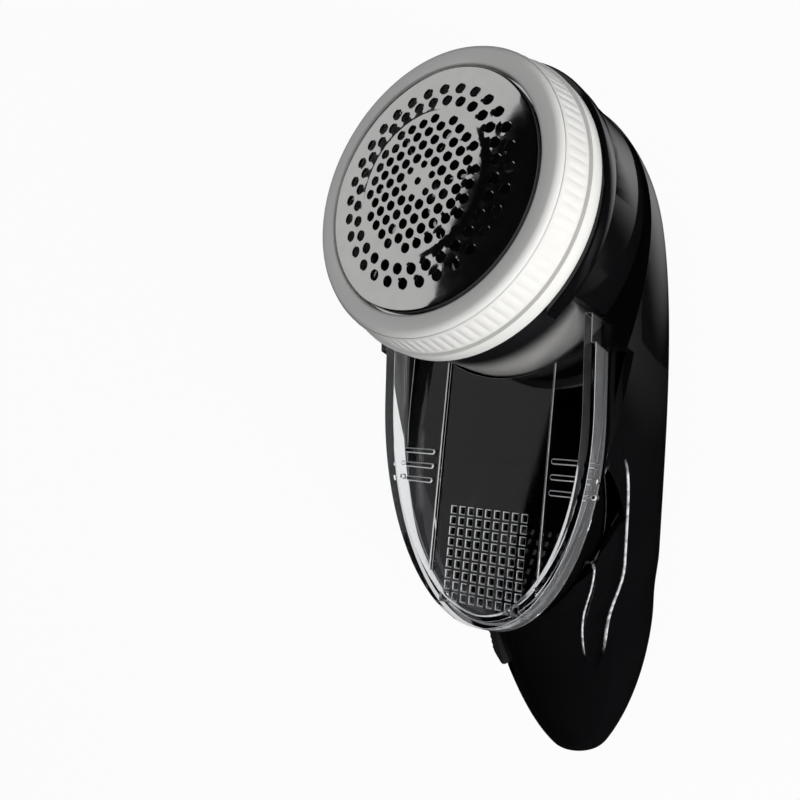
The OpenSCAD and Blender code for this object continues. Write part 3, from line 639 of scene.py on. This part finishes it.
def ringProfile():
    r = ring
    root = r["front"] - r["lipDeep"]
    points = [(r["lipR"], root)]
    points += [(r["lipR"] + out, r["front"] + up) for out, up in r["lipRound"]]
    for k in range(r["shoulderSteps"] + 1):  # rounded shoulder of the front
        t = pi / 2 * k / r["shoulderSteps"]
        points.append((r["frontR"] - r["shoulder"] * (1 - sin(t)),
                       r["front"] - r["frontDip"] - r["shoulder"] * (1 - cos(t))))
    points += [(r["frontR"] + out, r["bandTop"] + up) for out, up in r["bandStep"]]
    flare = r["footR"] - r["frontR"] - r["footOut"]
    fall = r["bandFoot"] - r["bandTop"] + r["bandDip"]
    for k in range(r["bandSteps"] + 1):  # band that the flutes are on
        t = k / r["bandSteps"]
        points.append((r["frontR"] + r["bandOut"] + flare * t, r["bandTop"] - r["bandDip"] + fall * t))
    points.append((r["footR"], r["bandFoot"] - r["footDip"]))
    points += [(r["footR"] + out, r["foot"] + up) for out, up in r["footRound"]]
    points += [(r["boreR"], r["foot"]), (r["boreR"], root - r["ledge"])]
    points.append((r["lipR"] + r["lipWide"], root - r["ledge"]))
    return points


def makeLockRing():
    r = ring
    bm = spinProfile(ringProfile(), r["flutes"] * r["fluteSteps"])
    top = r["bandTop"] - r["bandDip"]
    for v in bm.verts:
        z = v.co.z / mm
        radius = v.co.xy.length / mm
        if r["bandFoot"] - 0.01 <= z <= top + 0.01 and radius > r["frontR"]:
            angle = Vector((1, 0)).angle_signed(v.co.xy, 0)
            ends = min((top - z) / r["fluteEnds"], (z - r["bandFoot"]) / r["fluteEnds"], 1)
            lift = r["fluteDepth"] * max(ends, 0) * (abs(cos(r["flutes"] / 2 * angle)) - r["fluteSink"])
            v.co.xy = v.co.xy.normalized() * (radius + lift) * mm
    bmesh.ops.transform(bm, matrix=headFrame, verts=bm.verts)
    return scratchObject("lockRing", bm)


lockRing = makeLockRing()
finishPiece(lockRing, finish["white_plastic"], "ring", ["lock_ring"], 40)
print("lock ring", len(lockRing.data.polygons))


# perforated foil: a hexagon of holes on a raised disc, inside rings of larger holes
foil = {"radius": 30.3, "rise": 3.4, "thick": 0.4, "skirt": 2.8, "flangeR": 33.0, "flangeT": 0.6,
        "stepR": 18.3, "stepDrop": 0.14, "stepGap": 0.3, "stepSides": 96, "rimGap": 0.6, "rimSides": 160,
        "pitch": 3.45, "smallR": 0.85, "holeR": 1.17, "bigR": 1.32, "rings": 5, "firstWide": 1.2,
        "outerRings": (20.6, 23.9), "outerHoles": 30, "holeSides": 20, "chamfer": 0.14, "mouth": 0.09,
        "holeDeep": 0.8, "strayGap": 0.2, "rolled": [(0.25, 0.3, 0.06), (0.05, 0, 0.2), (0, 0, 0.5)],
        "lining": 0.5, "longest": 1.7, "turn": 14}


def foilHoles():
    f = foil
    inner = []
    for q in range(-f["rings"], f["rings"] + 1):
        for s in range(-f["rings"], f["rings"] + 1):
            reach = max(abs(q), abs(s), abs(q + s))
            corner = q * s * (q + s) == 0
            if reach < f["rings"] or (reach == f["rings"] and not corner):
                wide = f["firstWide"] if reach == 1 else 1
                inner.append((wide * f["pitch"] * (q + s / 2), wide * f["pitch"] * s * sqrt(3) / 2,
                              f["smallR"] if reach < 2 else f["holeR"]))
    outer = []
    for k, radius in enumerate(f["outerRings"]):
        for i in range(f["outerHoles"]):
            angle = (i + (1 - k) / 2) * 2 * pi / f["outerHoles"]
            outer.append((radius * cos(angle), radius * sin(angle), f["bigR"]))
    return inner, outer


def circleEdges(bm, radius, sides, x=0, y=0):
    made = bmesh.ops.create_circle(bm, radius=radius * mm, segments=sides, matrix=move(x, y, 0))
    return list(dict.fromkeys(e for v in made["verts"] for e in v.link_edges))  # once each, in order


def foilSheet(bm, borders, holes, openTo=0):
    # a flat sheet between the borders, open at the holes and out to a radius
    edges = [e for radius, sides in borders for e in circleEdges(bm, radius, sides)]
    for x, y, radius in holes:
        edges += circleEdges(bm, radius + foil["chamfer"], foil["holeSides"], x, y)
    made = bmesh.ops.triangle_fill(bm, edges=edges, use_beauty=True)
    stray = []
    for face in [g for g in made["geom"] if isinstance(g, bmesh.types.BMFace)]:
        spot = face.calc_center_median().xy / mm
        if spot.length < openTo or any((spot - Vector((x, y))).length < radius for x, y, radius in holes):
            stray.append(face)
    bmesh.ops.delete(bm, geom=stray, context="FACES_ONLY")


def evenTriangles(bm):
    for _ in range(2):
        longEdges = [e for e in bm.edges if e.calc_length() > foil["longest"] * mm and not e.is_boundary]
        bmesh.ops.subdivide_edges(bm, edges=longEdges, cuts=1, use_grid_fill=True)
        bmesh.ops.triangulate(bm, faces=[p for p in bm.faces if len(p.verts) > 3])
        bmesh.ops.beautify_fill(bm, faces=bm.faces, edges=[e for e in bm.edges if not e.is_boundary])


def borderAt(rims, radius):
    return [e for e in rims if all(abs(v.co.length - radius * mm) < 0.02 * mm for v in e.verts)]


def aroundLoop(edges):
    # the points of one border in order of their angle
    points = {v for e in edges for v in e.verts}
    step = 2 * pi / len(points)
    return sorted(points, key=lambda v: round(atan2(v.co.y, v.co.x) / step) % len(points))


def domeZ(radius):
    # height of the dome, with the inner disc a hair above the outer one
    f = foil
    domeR = (f["radius"] ** 2 + f["rise"] ** 2) / (2 * f["rise"])
    drop = f["stepDrop"] if radius > f["stepR"] - f["stepGap"] / 2 else 0
    return sqrt(domeR ** 2 - radius ** 2) - domeR - drop


def pierceHoles(bm, rims, centres):
    # chamfer and wall of every hole
    f = foil
    mouths = bmesh.ops.extrude_edge_only(bm, edges=rims)
    for v in vertsOf(mouths):
        x, y, radius = min(centres, key=lambda c: (v.co.x / mm - c[0]) ** 2 + (v.co.y / mm - c[1]) ** 2)
        out = (v.co.xy - Vector((x, y)) * mm).normalized()
        v.co.xy = Vector((x, y)) * mm + out * radius * mm
        v.co.z -= f["mouth"] * mm
    walls = bmesh.ops.extrude_edge_only(bm, edges=edgesOf(mouths))
    for v in vertsOf(walls):
        v.co.z -= f["thick"] * f["holeDeep"] * mm


def rollRim(bm, edge):
    # rolled edge, as steps in from the rim and down from the dome, then skirt and flange, out and back
    f = foil
    radius = f["radius"]
    inner = radius - f["thick"]
    foot = -f["rise"] - f["skirt"]
    runs = [(radius - back, domeZ(radius - read) - drop) for back, read, drop in f["rolled"]]
    runs += [(radius, foot), (f["flangeR"], foot), (f["flangeR"], foot - f["flangeT"]),
             (inner, foot - f["flangeT"]), (inner, -f["rise"] - f["thick"] - f["lining"])]
    for r, z in runs:
        grown = bmesh.ops.extrude_edge_only(bm, edges=edge)
        edge = edgesOf(grown)
        for v in vertsOf(grown):
            v.co.xy = v.co.xy.normalized() * r * mm
            v.co.z = z * mm


def makeFoil():
    f = foil
    inner, outer = foilHoles()
    discR = f["stepR"] - f["stepGap"]
    rimR = f["radius"] - f["rimGap"]
    bm = bmesh.new()
    foilSheet(bm, [(discR, f["stepSides"])], inner)
    foilSheet(bm, [(f["stepR"], f["stepSides"]), (rimR, f["rimSides"])], outer,
              f["stepR"] - f["strayGap"])
    evenTriangles(bm)
    rims = [e for e in bm.edges if e.is_boundary]
    disc, step, edge = borderAt(rims, discR), borderAt(rims, f["stepR"]), borderAt(rims, rimR)
    borders = set(disc + step + edge)
    holeRims = [e for e in rims if e not in borders]
    low, high = aroundLoop(disc), aroundLoop(step)
    for k in range(len(low)):
        bm.faces.new((low[k - 1], low[k], high[k], high[k - 1]))
    for v in bm.verts:
        v.co.z = domeZ(v.co.xy.length / mm) * mm
    bmesh.ops.recalc_face_normals(bm, faces=bm.faces)
    pierceHoles(bm, holeRims, inner + outer)
    rollRim(bm, edge)
    bmesh.ops.recalc_face_normals(bm, faces=bm.faces)
    bmesh.ops.transform(bm, matrix=headFrame @ turn(f["turn"], "Z"), verts=bm.verts)
    return scratchObject("foilDome", bm)


foilDome = makeFoil()
finishPiece(foilDome, finish["polished_steel"], bodyOf["foil"], ["foil"], 28)
print("foil", len(foilDome.data.polygons))


# clear lint bin: a thin moulding with a raised rim, a stepped panel, vents and finger ribs
lint = {"half": 33.2, "round": 54, "roundSteps": 48, "long": 83, "lipEnd": 68.7, "lipStep": 1.2,
        "lipDeep": 6.5, "footHigh": 8.5, "rimSlope": 19, "rimWide": 3.2, "panelDrop": 1.7, "panelSlope": 12.8,
        "sideLift": 0.8, "creaseAt": 17, "wall": 1.1, "clear": 0.3, "edge": 0.2,
        "vents": 9, "ventPitch": 2.85, "ventFrom": 6.6, "ventWide": 1.55, "ventLong": 1.8, "ventOver": 0.3,
        "ventDeep": 4, "ribs": 3, "ribFrom": 19.5, "ribTo": 31.5, "ribAt": 36.5, "ribPitch": 3.9,
        "ribWide": 1.5, "ribHigh": 0.9, "ribSunk": 0.6, "ribEdge": 0.28,
        "ridgeWide": 0.6, "ridgeHigh": 0.35, "ridgeSunk": 0.4, "ridgeEnds": (10.5, 69),
        "chuteR": 36.8, "chuteFoot": -49.2, "neckFront": -23.4, "neckFoot": -40.9,
        # the next two lines set the painted highlight: pale white on edges and walls, picked by how they face
        "edgeGlint": 0.85, "edgeFacing": (0.2, 0.9), "bevelFacing": 0.1,
        "wallGlint": 0.08, "wallFacing": (-0.1, 0.5)}
# the clear plastic's dark colour and its end levels paint shade on the bin below its lip, where it sits down
# in the housing; its pale third colour is a painted highlight
clear = {"colour": (0.95, 0.96, 0.98), "paintedShade": (0.03, 0.03, 0.034), "glintColour": (0.9, 0.91, 0.92), "ior": 1.49,
         "paintedShadeEnd": (-0.2, 0.2), "flowScale": 45, "rough": (0.01, 0.05), "flow": 0.04, "flowDeep": 0.0004}
# painted shade on the chute: pale grey at its lower lip, black where the ring shades it
chute = {"pale": (0.5, 0.49, 0.47), "black": (0.008, 0.008, 0.009), "lipOver": (4, 15), "lipFrom": (73, 78),
         "rough": (0.28, 0.4)}
panelHigh = lint["footHigh"] - lint["panelDrop"]
lipPlane = climbing(lint["footHigh"] - lint["lipDeep"], lint["rimSlope"])  # underside of the bin's lip
panelPlane = climbing(panelHigh, lint["panelSlope"])
sidePlane = climbing(panelHigh + lint["sideLift"], lint["panelSlope"])


def clearPlastic(place):
    # clear above the given plane, with painted shade below it, and a painted pale highlight where the mesh
    # says so
    material, shader = newFinish("clear_plastic", clear["colour"], 0.02)
    shader.inputs["Transmission Weight"].default_value = 1
    shader.inputs["IOR"].default_value = clear["ior"]
    paintedGlint = addNode(material, "ShaderNodeAttribute", attribute_name="paintedGlint").outputs["Fac"]
    above = heightOver(material, place, 2, *clear["paintedShadeEnd"])
    plain = blend(material, above, clear["paintedShade"], clear["colour"])
    feed(material, blend(material, paintedGlint, plain, clear["glintColour"]), shader.inputs["Base Color"])
    feed(material, reckon(material, "SUBTRACT", 1, paintedGlint), shader.inputs["Transmission Weight"])
    flow = grain(material, clear["flowScale"], 2)
    feed(material, spread(material, flow, *clear["rough"]), shader.inputs["Roughness"])
    dent(material, flow, clear["flow"], clear["flowDeep"], shader)
    return material


def chuteShadePaint(panel, along):
    # painted shade: the white chute is painted black where the ring shades it, pale grey only at its lower
    # lip
    material, shader = newFinish("chute_painted_shade", (0.2, 0.2, 0.2), 0.35)
    upper = heightOver(material, panel, 2, *chute["lipOver"])
    far = heightOver(material, along, 1, *chute["lipFrom"])
    shadeShare = reckon(material, "MAXIMUM", upper, far)
    feed(material, blend(material, shadeShare, chute["pale"], chute["black"]), shader.inputs["Base Color"])
    rough = spread(material, grain(material, grains["cloud"]), *chute["rough"])
    feed(material, rough, shader.inputs["Roughness"])
    return material


# the bin gets painted shade below its lip and painted pale highlights on its edges
finish["clear_plastic"] = clearPlastic(lipPlane)
# the chute's painted shade: black where the ring shades it, pale at its lower lip
finish["chute_painted_shade"] = chuteShadePaint(panelPlane, binFrame)


def binOutline(inset, end, low, high):
    # the plan of the bin, a half ellipse with straight sides, raised into a block
    b = lint
    half = b["half"] - inset
    bm = bmesh.new()
    plan = [(half, end)]
    for k in range(b["roundSteps"] + 1):
        t = pi * k / b["roundSteps"]
        plan.append((half * cos(t), b["round"] - (b["round"] - inset) * sin(t)))
    plan.append((-half, end))
    face = bm.faces.new([bm.verts.new((x * mm, y * mm, low * mm)) for x, y in plan])
    for v in vertsOf(bmesh.ops.extrude_face_region(bm, geom=[face])):
        v.co.z = high * mm
    bmesh.ops.recalc_face_normals(bm, faces=bm.faces)
    bmesh.ops.transform(bm, matrix=binFrame, verts=bm.verts)
    return scratchObject("plan", bm)


def binRecess(inset, drop):
    # what lies over the panel: the middle one step lower than its sides
    b = lint
    low = b["footHigh"] - b["panelDrop"] - drop
    recess = binOutline(inset, b["long"] + 5, -20, 80)
    carve(recess, roomAbove(climbing(low + b["sideLift"], b["panelSlope"])), "INTERSECT")
    sunk = binOutline(inset, b["long"] + 5, -20, 80)
    strip = blockAt(climbing(low, b["panelSlope"]), (-b["creaseAt"], -200, 0), (b["creaseAt"], 200, 200))
    carve(sunk, strip, "INTERSECT")
    carve(recess, sunk, "UNION")
    dropObject(sunk)
    return recess


def binSolid():
    b = lint
    solid = binOutline(b["lipStep"], b["long"], b["clear"], 50)
    lip = binOutline(0, b["lipEnd"], -20, 50)
    carve(lip, roomAbove(lipPlane), "INTERSECT")
    carve(solid, lip, "UNION")
    carve(solid, roomAbove(climbing(b["footHigh"], b["rimSlope"])))
    recess = binRecess(b["rimWide"], 0)
    carve(solid, recess)
    hollow = binOutline(b["lipStep"] + b["wall"], b["long"] - b["wall"], b["clear"] + b["wall"], 60)
    under = binRecess(-20, b["wall"])
    carve(hollow, under)
    carve(solid, hollow)
    for piece in (lip, recess, hollow, under):
        dropObject(piece)
    return solid


def addVent(bm, place):
    # one square hole with a chamfered mouth
    b = lint
    flare = b["edge"] + b["ventOver"]
    made = bmesh.ops.create_cone(bm, cap_ends=True, segments=4, radius1=b["ventWide"] / sqrt(2) * mm,
                                 radius2=(b["ventWide"] / 2 + flare) * sqrt(2) * mm, depth=flare * mm)
    bmesh.ops.rotate(bm, verts=made["verts"], matrix=Matrix.Rotation(pi / 4, 3, "Z"))
    bmesh.ops.scale(bm, vec=(1, b["ventLong"] / b["ventWide"], 1), verts=made["verts"])
    lowest = min(made["verts"], key=lambda v: v.co.z)
    foot = [face for face in lowest.link_faces if face.normal.z < -0.9]
    deep = vertsOf(bmesh.ops.extrude_face_region(bm, geom=foot))
    for v in deep:
        v.co.z -= b["ventDeep"] * mm
    bmesh.ops.delete(bm, geom=foot, context="FACES_ONLY")
    bmesh.ops.transform(bm, matrix=place @ move(0, 0, b["ventOver"] - flare / 2), verts=made["verts"] + deep)


def binVents():
    b = lint
    bm = bmesh.new()
    middle = (b["vents"] - 1) / 2
    for i in range(b["vents"]):
        for j in range(b["vents"]):
            along = b["ventFrom"] + j * b["ventPitch"]
            addVent(bm, panelPlane @ move((i - middle) * b["ventPitch"], along, 0))
    bmesh.ops.recalc_face_normals(bm, faces=bm.faces)
    return scratchObject("vents", bm)


def binRib(side, at):
    # a bar with round ends, lying on the side panel and over the rim
    b = lint
    bm = bmesh.new()
    half = b["ribWide"] / 2
    made = bmesh.ops.create_circle(bm, cap_ends=True, radius=half * mm, segments=16)
    for v in made["verts"]:
        v.co.x = v.co.x + (b["ribTo"] if v.co.x > 0.01 * half * mm else b["ribFrom"]) * mm
        v.co.x *= side
    for v in vertsOf(bmesh.ops.extrude_face_region(bm, geom=list(bm.faces))):
        v.co.z += (b["ribHigh"] + b["ribSunk"]) * mm
    bmesh.ops.recalc_face_normals(bm, faces=bm.faces)
    chamfer(bm, [e for e in bm.edges if all(v.co.z > 0 for v in e.verts)], b["ribEdge"])
    low = panelHigh + b["sideLift"] - b["ribSunk"]
    bmesh.ops.transform(bm, matrix=climbing(low, b["panelSlope"]) @ move(0, at, 0), verts=bm.verts)
    return bm


def binRidge(side):
    # a fine ridge along each crease
    b = lint
    start, end = b["ridgeEnds"]
    near, far = sorted((side * b["creaseAt"], side * (b["creaseAt"] + b["ridgeWide"])))
    bm = blockAt(Matrix.Identity(4), (near, start, -b["ridgeSunk"]), (far, end, b["ridgeHigh"]))
    chamfer(bm, [e for e in bm.edges if all(v.co.z > 0 for v in e.verts)], b["edge"])
    bmesh.ops.transform(bm, matrix=sidePlane, verts=bm.verts)
    return bm


def paintEdgeGlints(piece):
    # painted highlights: outer edges, picked by which way they face, are painted pale white, upright walls a
    # little; bevelled faces have the second material
    b = lint
    up = binFrame.col[2].xyz
    toLip = lipPlane.inverted()
    edgeLow, edgeHigh = b["edgeFacing"]
    wallLow, wallHigh = b["wallFacing"]
    paintedGlint = piece.data.attributes.new("paintedGlint", "FLOAT", "FACE")
    for face, spot in zip(piece.data.polygons, paintedGlint.data):
        lift = face.normal.dot(up)
        if face.material_index == 1:
            edge = lift > b["bevelFacing"]
        else:
            edge = edgeLow < lift < edgeHigh
        if edge:
            spot.value = b["edgeGlint"]
        elif wallLow < lift < wallHigh and (toLip @ face.center).z > 0:
            spot.value = b["wallGlint"]


def makeBin():
    b = lint
    piece = binSolid()
    piece.name = "lintBin"
    carve(piece, rodAt(headFrame, b["chuteR"], b["chuteFoot"], 0, 160))
    carve(piece, blockAt(headFrame, (-60, b["neckFront"], b["neckFoot"]), (60, 60, 0)))
    bm = bmesh.new()
    bm.from_mesh(piece.data)
    bmesh.ops.remove_doubles(bm, verts=bm.verts, dist=2e-5)
    bmesh.ops.dissolve_limit(bm, angle_limit=radians(0.3), verts=bm.verts, edges=bm.edges)
    bm.to_mesh(piece.data)
    bm.free()
    for _ in range(2):
        piece.data.materials.append(finish["clear_plastic"])
    softEdges(piece, b["edge"], 30, 1)
    vents = binVents()
    carve(piece, vents)
    dropObject(vents)
    for side in (-1, 1):
        for k in range(b["ribs"]):
            carve(piece, binRib(side, b["ribAt"] + k * b["ribPitch"]), "UNION")
        carve(piece, binRidge(side), "UNION")
    # paint pale highlights on the bin's edges, chosen by how they face
    paintEdgeGlints(piece)
    return piece


lintBin = makeBin()
finishPiece(lintBin, finish["clear_plastic"], "bin", ["lint_bin"], 12)
print("bin", len(lintBin.data.polygons))


# pieces that keep their solid's shape, with broken edges: name, width of the edge and slot
dressed = {"head_base": ("headBase", 0.35, "white_plastic"),
           "head_collar": ("headCollar", 0.4, "gloss_black"),
           "lint_chute": ("lintChute", 0.3, "white_plastic"),
           "charge_jack": ("chargeJack", 0.25, "satin_black"),
           "jack_pin": ("jackPin", 0.15, "plated_steel"),
           "housing_screws": ("housingScrews", 0.2, "screw_steel")}


def crossRecess(piece):
    for x, y, z in screwSpots:
        foot = z - screw["run"] - screw["headH"]
        for a, b in (screw["cross"], screw["cross"][::-1]):
            carve(piece, blockAt(bodyFrame @ move(x, y, foot), (-a, -b, -0.5), (a, b, screw["crossDeep"])))


# switch knob: a wedge that rises towards the tail, with finger ridges and a stem
knob = {"half": 4.5, "top": 6.5, "foot": -6.5, "low": -2.3, "topHigh": 0.5, "footHigh": 2.3, "round": 1.3,
        "roundSteps": 5, "ridges": 5, "ridgeFrom": -3.6, "ridgePitch": 1.8, "ridgeHalf": 3, "ridgeWide": 0.7,
        "ridgeHigh": 0.22, "stemHalf": 1.6, "stemFoot": -8, "stemTop": -1.4, "edge": 0.12}


def makeKnob():
    k = knob
    bm = blockAt(Matrix.Identity(4), (-k["half"], k["foot"], k["low"]), (k["half"], k["top"], 0))
    for v in bm.verts:
        if v.co.z > -0.1 * mm:
            v.co.z = (k["topHigh"] if v.co.y > 0 else k["footHigh"]) * mm
    chamfer(bm, [e for e in bm.edges if max(v.co.z for v in e.verts) > 0], k["round"], k["roundSteps"])
    bmesh.ops.transform(bm, matrix=switchFrame, verts=bm.verts)
    piece = scratchObject("switchKnob", bm)
    slope = (k["footHigh"] - k["topHigh"]) / (k["top"] - k["foot"])
    half, wide, stem = k["ridgeHalf"], k["ridgeWide"] / 2, k["stemHalf"]
    for i in range(k["ridges"]):
        y = k["ridgeFrom"] + k["ridgePitch"] * i
        level = k["footHigh"] - slope * (y - k["foot"])
        ridge = blockAt(switchFrame, (-half, y - wide, level - 1), (half, y + wide, level + k["ridgeHigh"]))
        carve(piece, ridge, "UNION")
    carve(piece, blockAt(switchFrame, (-stem, -stem, k["stemFoot"]), (stem, stem, k["stemTop"])), "UNION")
    softEdges(piece, k["edge"], 40)
    return piece


for node, (name, width, slot) in dressed.items():
    piece = cleanCopy(node, name)
    softEdges(piece, width)
    if node == "housing_screws":
        crossRecess(piece)
    # the chute takes its painted shade in place of white plastic
    look = "chute_painted_shade" if node == "lint_chute" else slot
    finishPiece(piece, finish[look], bodyOf[node], [node], 35)
finishPiece(makeKnob(), finish["satin_black"], "switch", ["switch_knob"], 35)
print("dressed pieces", len(dressed))

# inner pieces keep their solids
inside = {"cutter_carrier": "chip_black", "cutter_blades": "blade_steel", "shaft_seal": "seal_felt",
          "drive_shaft": "blade_steel", "motor_rotor": "copper_winding", "motor_magnets": "ferrite",
          "motor_can": "plated_steel", "motor_end_cap": "cream_plastic", "motor_bushes": "bronze",
          "motor_plate": "plated_steel", "motor_screws": "screw_steel", "plate_screws": "screw_steel",
          "switch_body": "plated_steel", "circuit_board": "board_green", "board_parts": "chip_black",
          "board_screws": "screw_steel", "battery_cell": "cell_wrap", "battery_tabs": "plated_steel",
          "motor_leads": "lead_red", "battery_leads": "lead_black", "jack_leads": "lead_red"}
for node, slot in inside.items():
    mesh = frame["nodes"][node].data
    mesh.materials.clear()
    mesh.materials.append(finish[slot])
print("inner pieces", len(inside))


# floor, light and camera, in m
stage = {"floorSize": 4.0, "floorColour": (0.9, 0.9, 0.9), "floorRough": 0.8, "white": 0.95,
         "worldColour": (0.95, 0.97, 1), "worldLight": 0.3}
keyLight = {"place": (1.0, -0.4, 0.35), "aim": (0, 0.05, 0.05), "size": (0.5, 0.5), "power": 12}
camera = {"place": (0.12596, 0.04957, 0.22306), "right": (0.8106, -0.0872, -0.5790),
          "up": (-0.0236, 0.9832, -0.1811), "lens": 36.9, "sensor": 36, "shift": -0.11875, "nearest": 0.01}


def whiteToLens(tree, plain, share):
    # white where the lens, gloss or clear plastic looks, plain light for the rest
    path = tree.nodes.new("ShaderNodeLightPath")
    seen = path.outputs["Is Camera Ray"]
    for other in ("Is Glossy Ray", "Is Transmission Ray"):
        either = tree.nodes.new("ShaderNodeMath")
        either.operation = "MAXIMUM"
        tree.links.new(seen, either.inputs[0])
        tree.links.new(path.outputs[other], either.inputs[1])
        seen = either.outputs[0]
    part = tree.nodes.new("ShaderNodeMath")
    part.operation = "MULTIPLY"
    part.inputs[1].default_value = share
    tree.links.new(seen, part.inputs[0])
    mix = tree.nodes.new("ShaderNodeMixShader")
    tree.links.new(part.outputs[0], mix.inputs[0])
    tree.links.new(plain, mix.inputs[1])
    return mix


def makeFloor():
    bm = bmesh.new()
    bmesh.ops.create_grid(bm, x_segments=1, y_segments=1, size=stage["floorSize"] / 2)
    floor = scratchObject("floor", bm)
    material, shader = newFinish("floor_white", stage["floorColour"], stage["floorRough"])
    tree = material.node_tree
    glow = tree.nodes.new("ShaderNodeEmission")
    glow.inputs["Strength"].default_value = 1
    mix = whiteToLens(tree, shader.outputs[0], stage["white"])
    tree.links.new(glow.outputs[0], mix.inputs[2])
    tree.links.new(mix.outputs[0], tree.nodes["Material Output"].inputs["Surface"])
    floor.data.materials.append(material)


def makeRoom():
    world = bpy.data.worlds.new("room")
    scene.world = world
    world.use_nodes = True
    tree = world.node_tree
    soft = tree.nodes["Background"]
    soft.inputs["Color"].default_value = (*stage["worldColour"], 1)
    soft.inputs["Strength"].default_value = stage["worldLight"]
    white = tree.nodes.new("ShaderNodeBackground")
    white.inputs["Strength"].default_value = 1
    mix = whiteToLens(tree, soft.outputs[0], 1)
    tree.links.new(white.outputs[0], mix.inputs[2])
    tree.links.new(mix.outputs[0], tree.nodes["World Output"].inputs["Surface"])


def addLamp(name, place, aim, size, power):
    light = bpy.data.lights.new(name, "AREA")
    light.shape = "RECTANGLE"
    light.size, light.size_y = size
    light.energy = power
    lamp = bpy.data.objects.new(name, light)
    lamp.location = place
    lamp.visible_glossy = False
    lamp.rotation_euler = (Vector(place) - Vector(aim)).to_track_quat("Z", "Y").to_euler()
    scene.collection.objects.link(lamp)


# cards for gloss: a tent, which clear plastic sees too, over a dark floor, and a few pale cards
cards = {
    "ceiling": {"middle": (0, 0, 1.3), "size": (4, 4), "tent": True},
    "rightWall": {"middle": (1.9, 0, 0.65), "across": (0, 0, 1), "size": (1.3, 4), "tent": True},
    "leftWall": {"middle": (-1.9, 0, 0.65), "across": (0, 0, 1), "size": (1.3, 4), "tent": True},
    "farWall": {"middle": (0, 1.9, 0.65), "along": (1, 0, 0), "across": (0, 0, 1), "size": (1.3, 4),
                "tent": True},
    "nearWall": {"middle": (0, -1.9, 0.65), "along": (1, 0, 0), "across": (0, 0, 1), "size": (1.3, 4),
                 "tent": True},
    "darkMat": {"middle": (0, 0, 0.0004), "size": (3.9, 3.9)},
    "greyMat": {"middle": (0.2, 0.012, 0.0008), "size": (0.36, 0.1), "glow": 0.5, "soft": True},
    "edgeMat": {"middle": (0.05, 0.085, 0.0012), "size": (0.06, 0.14), "glow": 0.9, "soft": True},
    "paleCard": {"middle": (-0.691, 0.516, 0.358), "along": (0.326, 0.821, -0.467),
                 "across": (-0.591, -0.209, -0.779), "size": (0.9, 1.5), "glow": 0.55},
}


def fadeOut(material, shader, glow):
    # a round glow that dies away towards the card's border
    coord = addNode(material, "ShaderNodeTexCoord")
    away = addNode(material, "ShaderNodeVectorMath", operation="DISTANCE")
    away.inputs[1].default_value = (0.5, 0.5, 0)
    feed(material, coord.outputs["UV"], away.inputs[0])
    level = remap(material, away.outputs["Value"], (0, 0.5), (glow, 0))
    feed(material, level, shader.inputs["Emission Strength"])


def makeCard(name, middle, size, along=(0, 1, 0), across=(1, 0, 0), glow=0, tent=False, soft=False):
    bm = bmesh.new()
    bm.loops.layers.uv.new("UVMap")
    bmesh.ops.create_grid(bm, x_segments=1, y_segments=1, size=0.5, calc_uvs=True)
    bmesh.ops.scale(bm, vec=(*size, 1), verts=bm.verts)
    across = Vector(across).normalized()
    along = (Vector(along) - across * across.dot(Vector(along))).normalized()
    turned = Matrix((across, along, across.cross(along))).transposed().to_4x4()
    bmesh.ops.transform(bm, matrix=Matrix.Translation(middle) @ turned, verts=bm.verts)
    piece = scratchObject(name, bm)
    material, shader = newFinish(name, (0.004, 0.004, 0.004), 1)
    shader.inputs["Emission Color"].default_value = (1, 1, 1, 1)
    shader.inputs["Emission Strength"].default_value = glow
    if soft:
        fadeOut(material, shader, glow)
    piece.data.materials.append(material)
    piece.visible_camera = False
    piece.visible_diffuse = False
    piece.visible_shadow = False
    piece.visible_transmission = tent


def makeCamera():
    data = bpy.data.cameras.new("lens")
    data.lens = camera["lens"]
    data.sensor_width = camera["sensor"]
    data.shift_x = camera["shift"]
    data.clip_start = camera["nearest"]
    eye = bpy.data.objects.new("lens", data)
    right = Vector(camera["right"]).normalized()
    back = right.cross(Vector(camera["up"])).normalized()
    up = back.cross(right)
    eye.matrix_world = Matrix.Translation(camera["place"]) @ Matrix((right, up, back)).transposed().to_4x4()
    scene.collection.objects.link(eye)
    scene.camera = eye


makeFloor()
makeRoom()
for name, facts in cards.items():
    makeCard(name, **facts)
makeCamera()
addLamp("keyLight", **keyLight)
scene.view_settings.view_transform = "Standard"
print("stage ready")
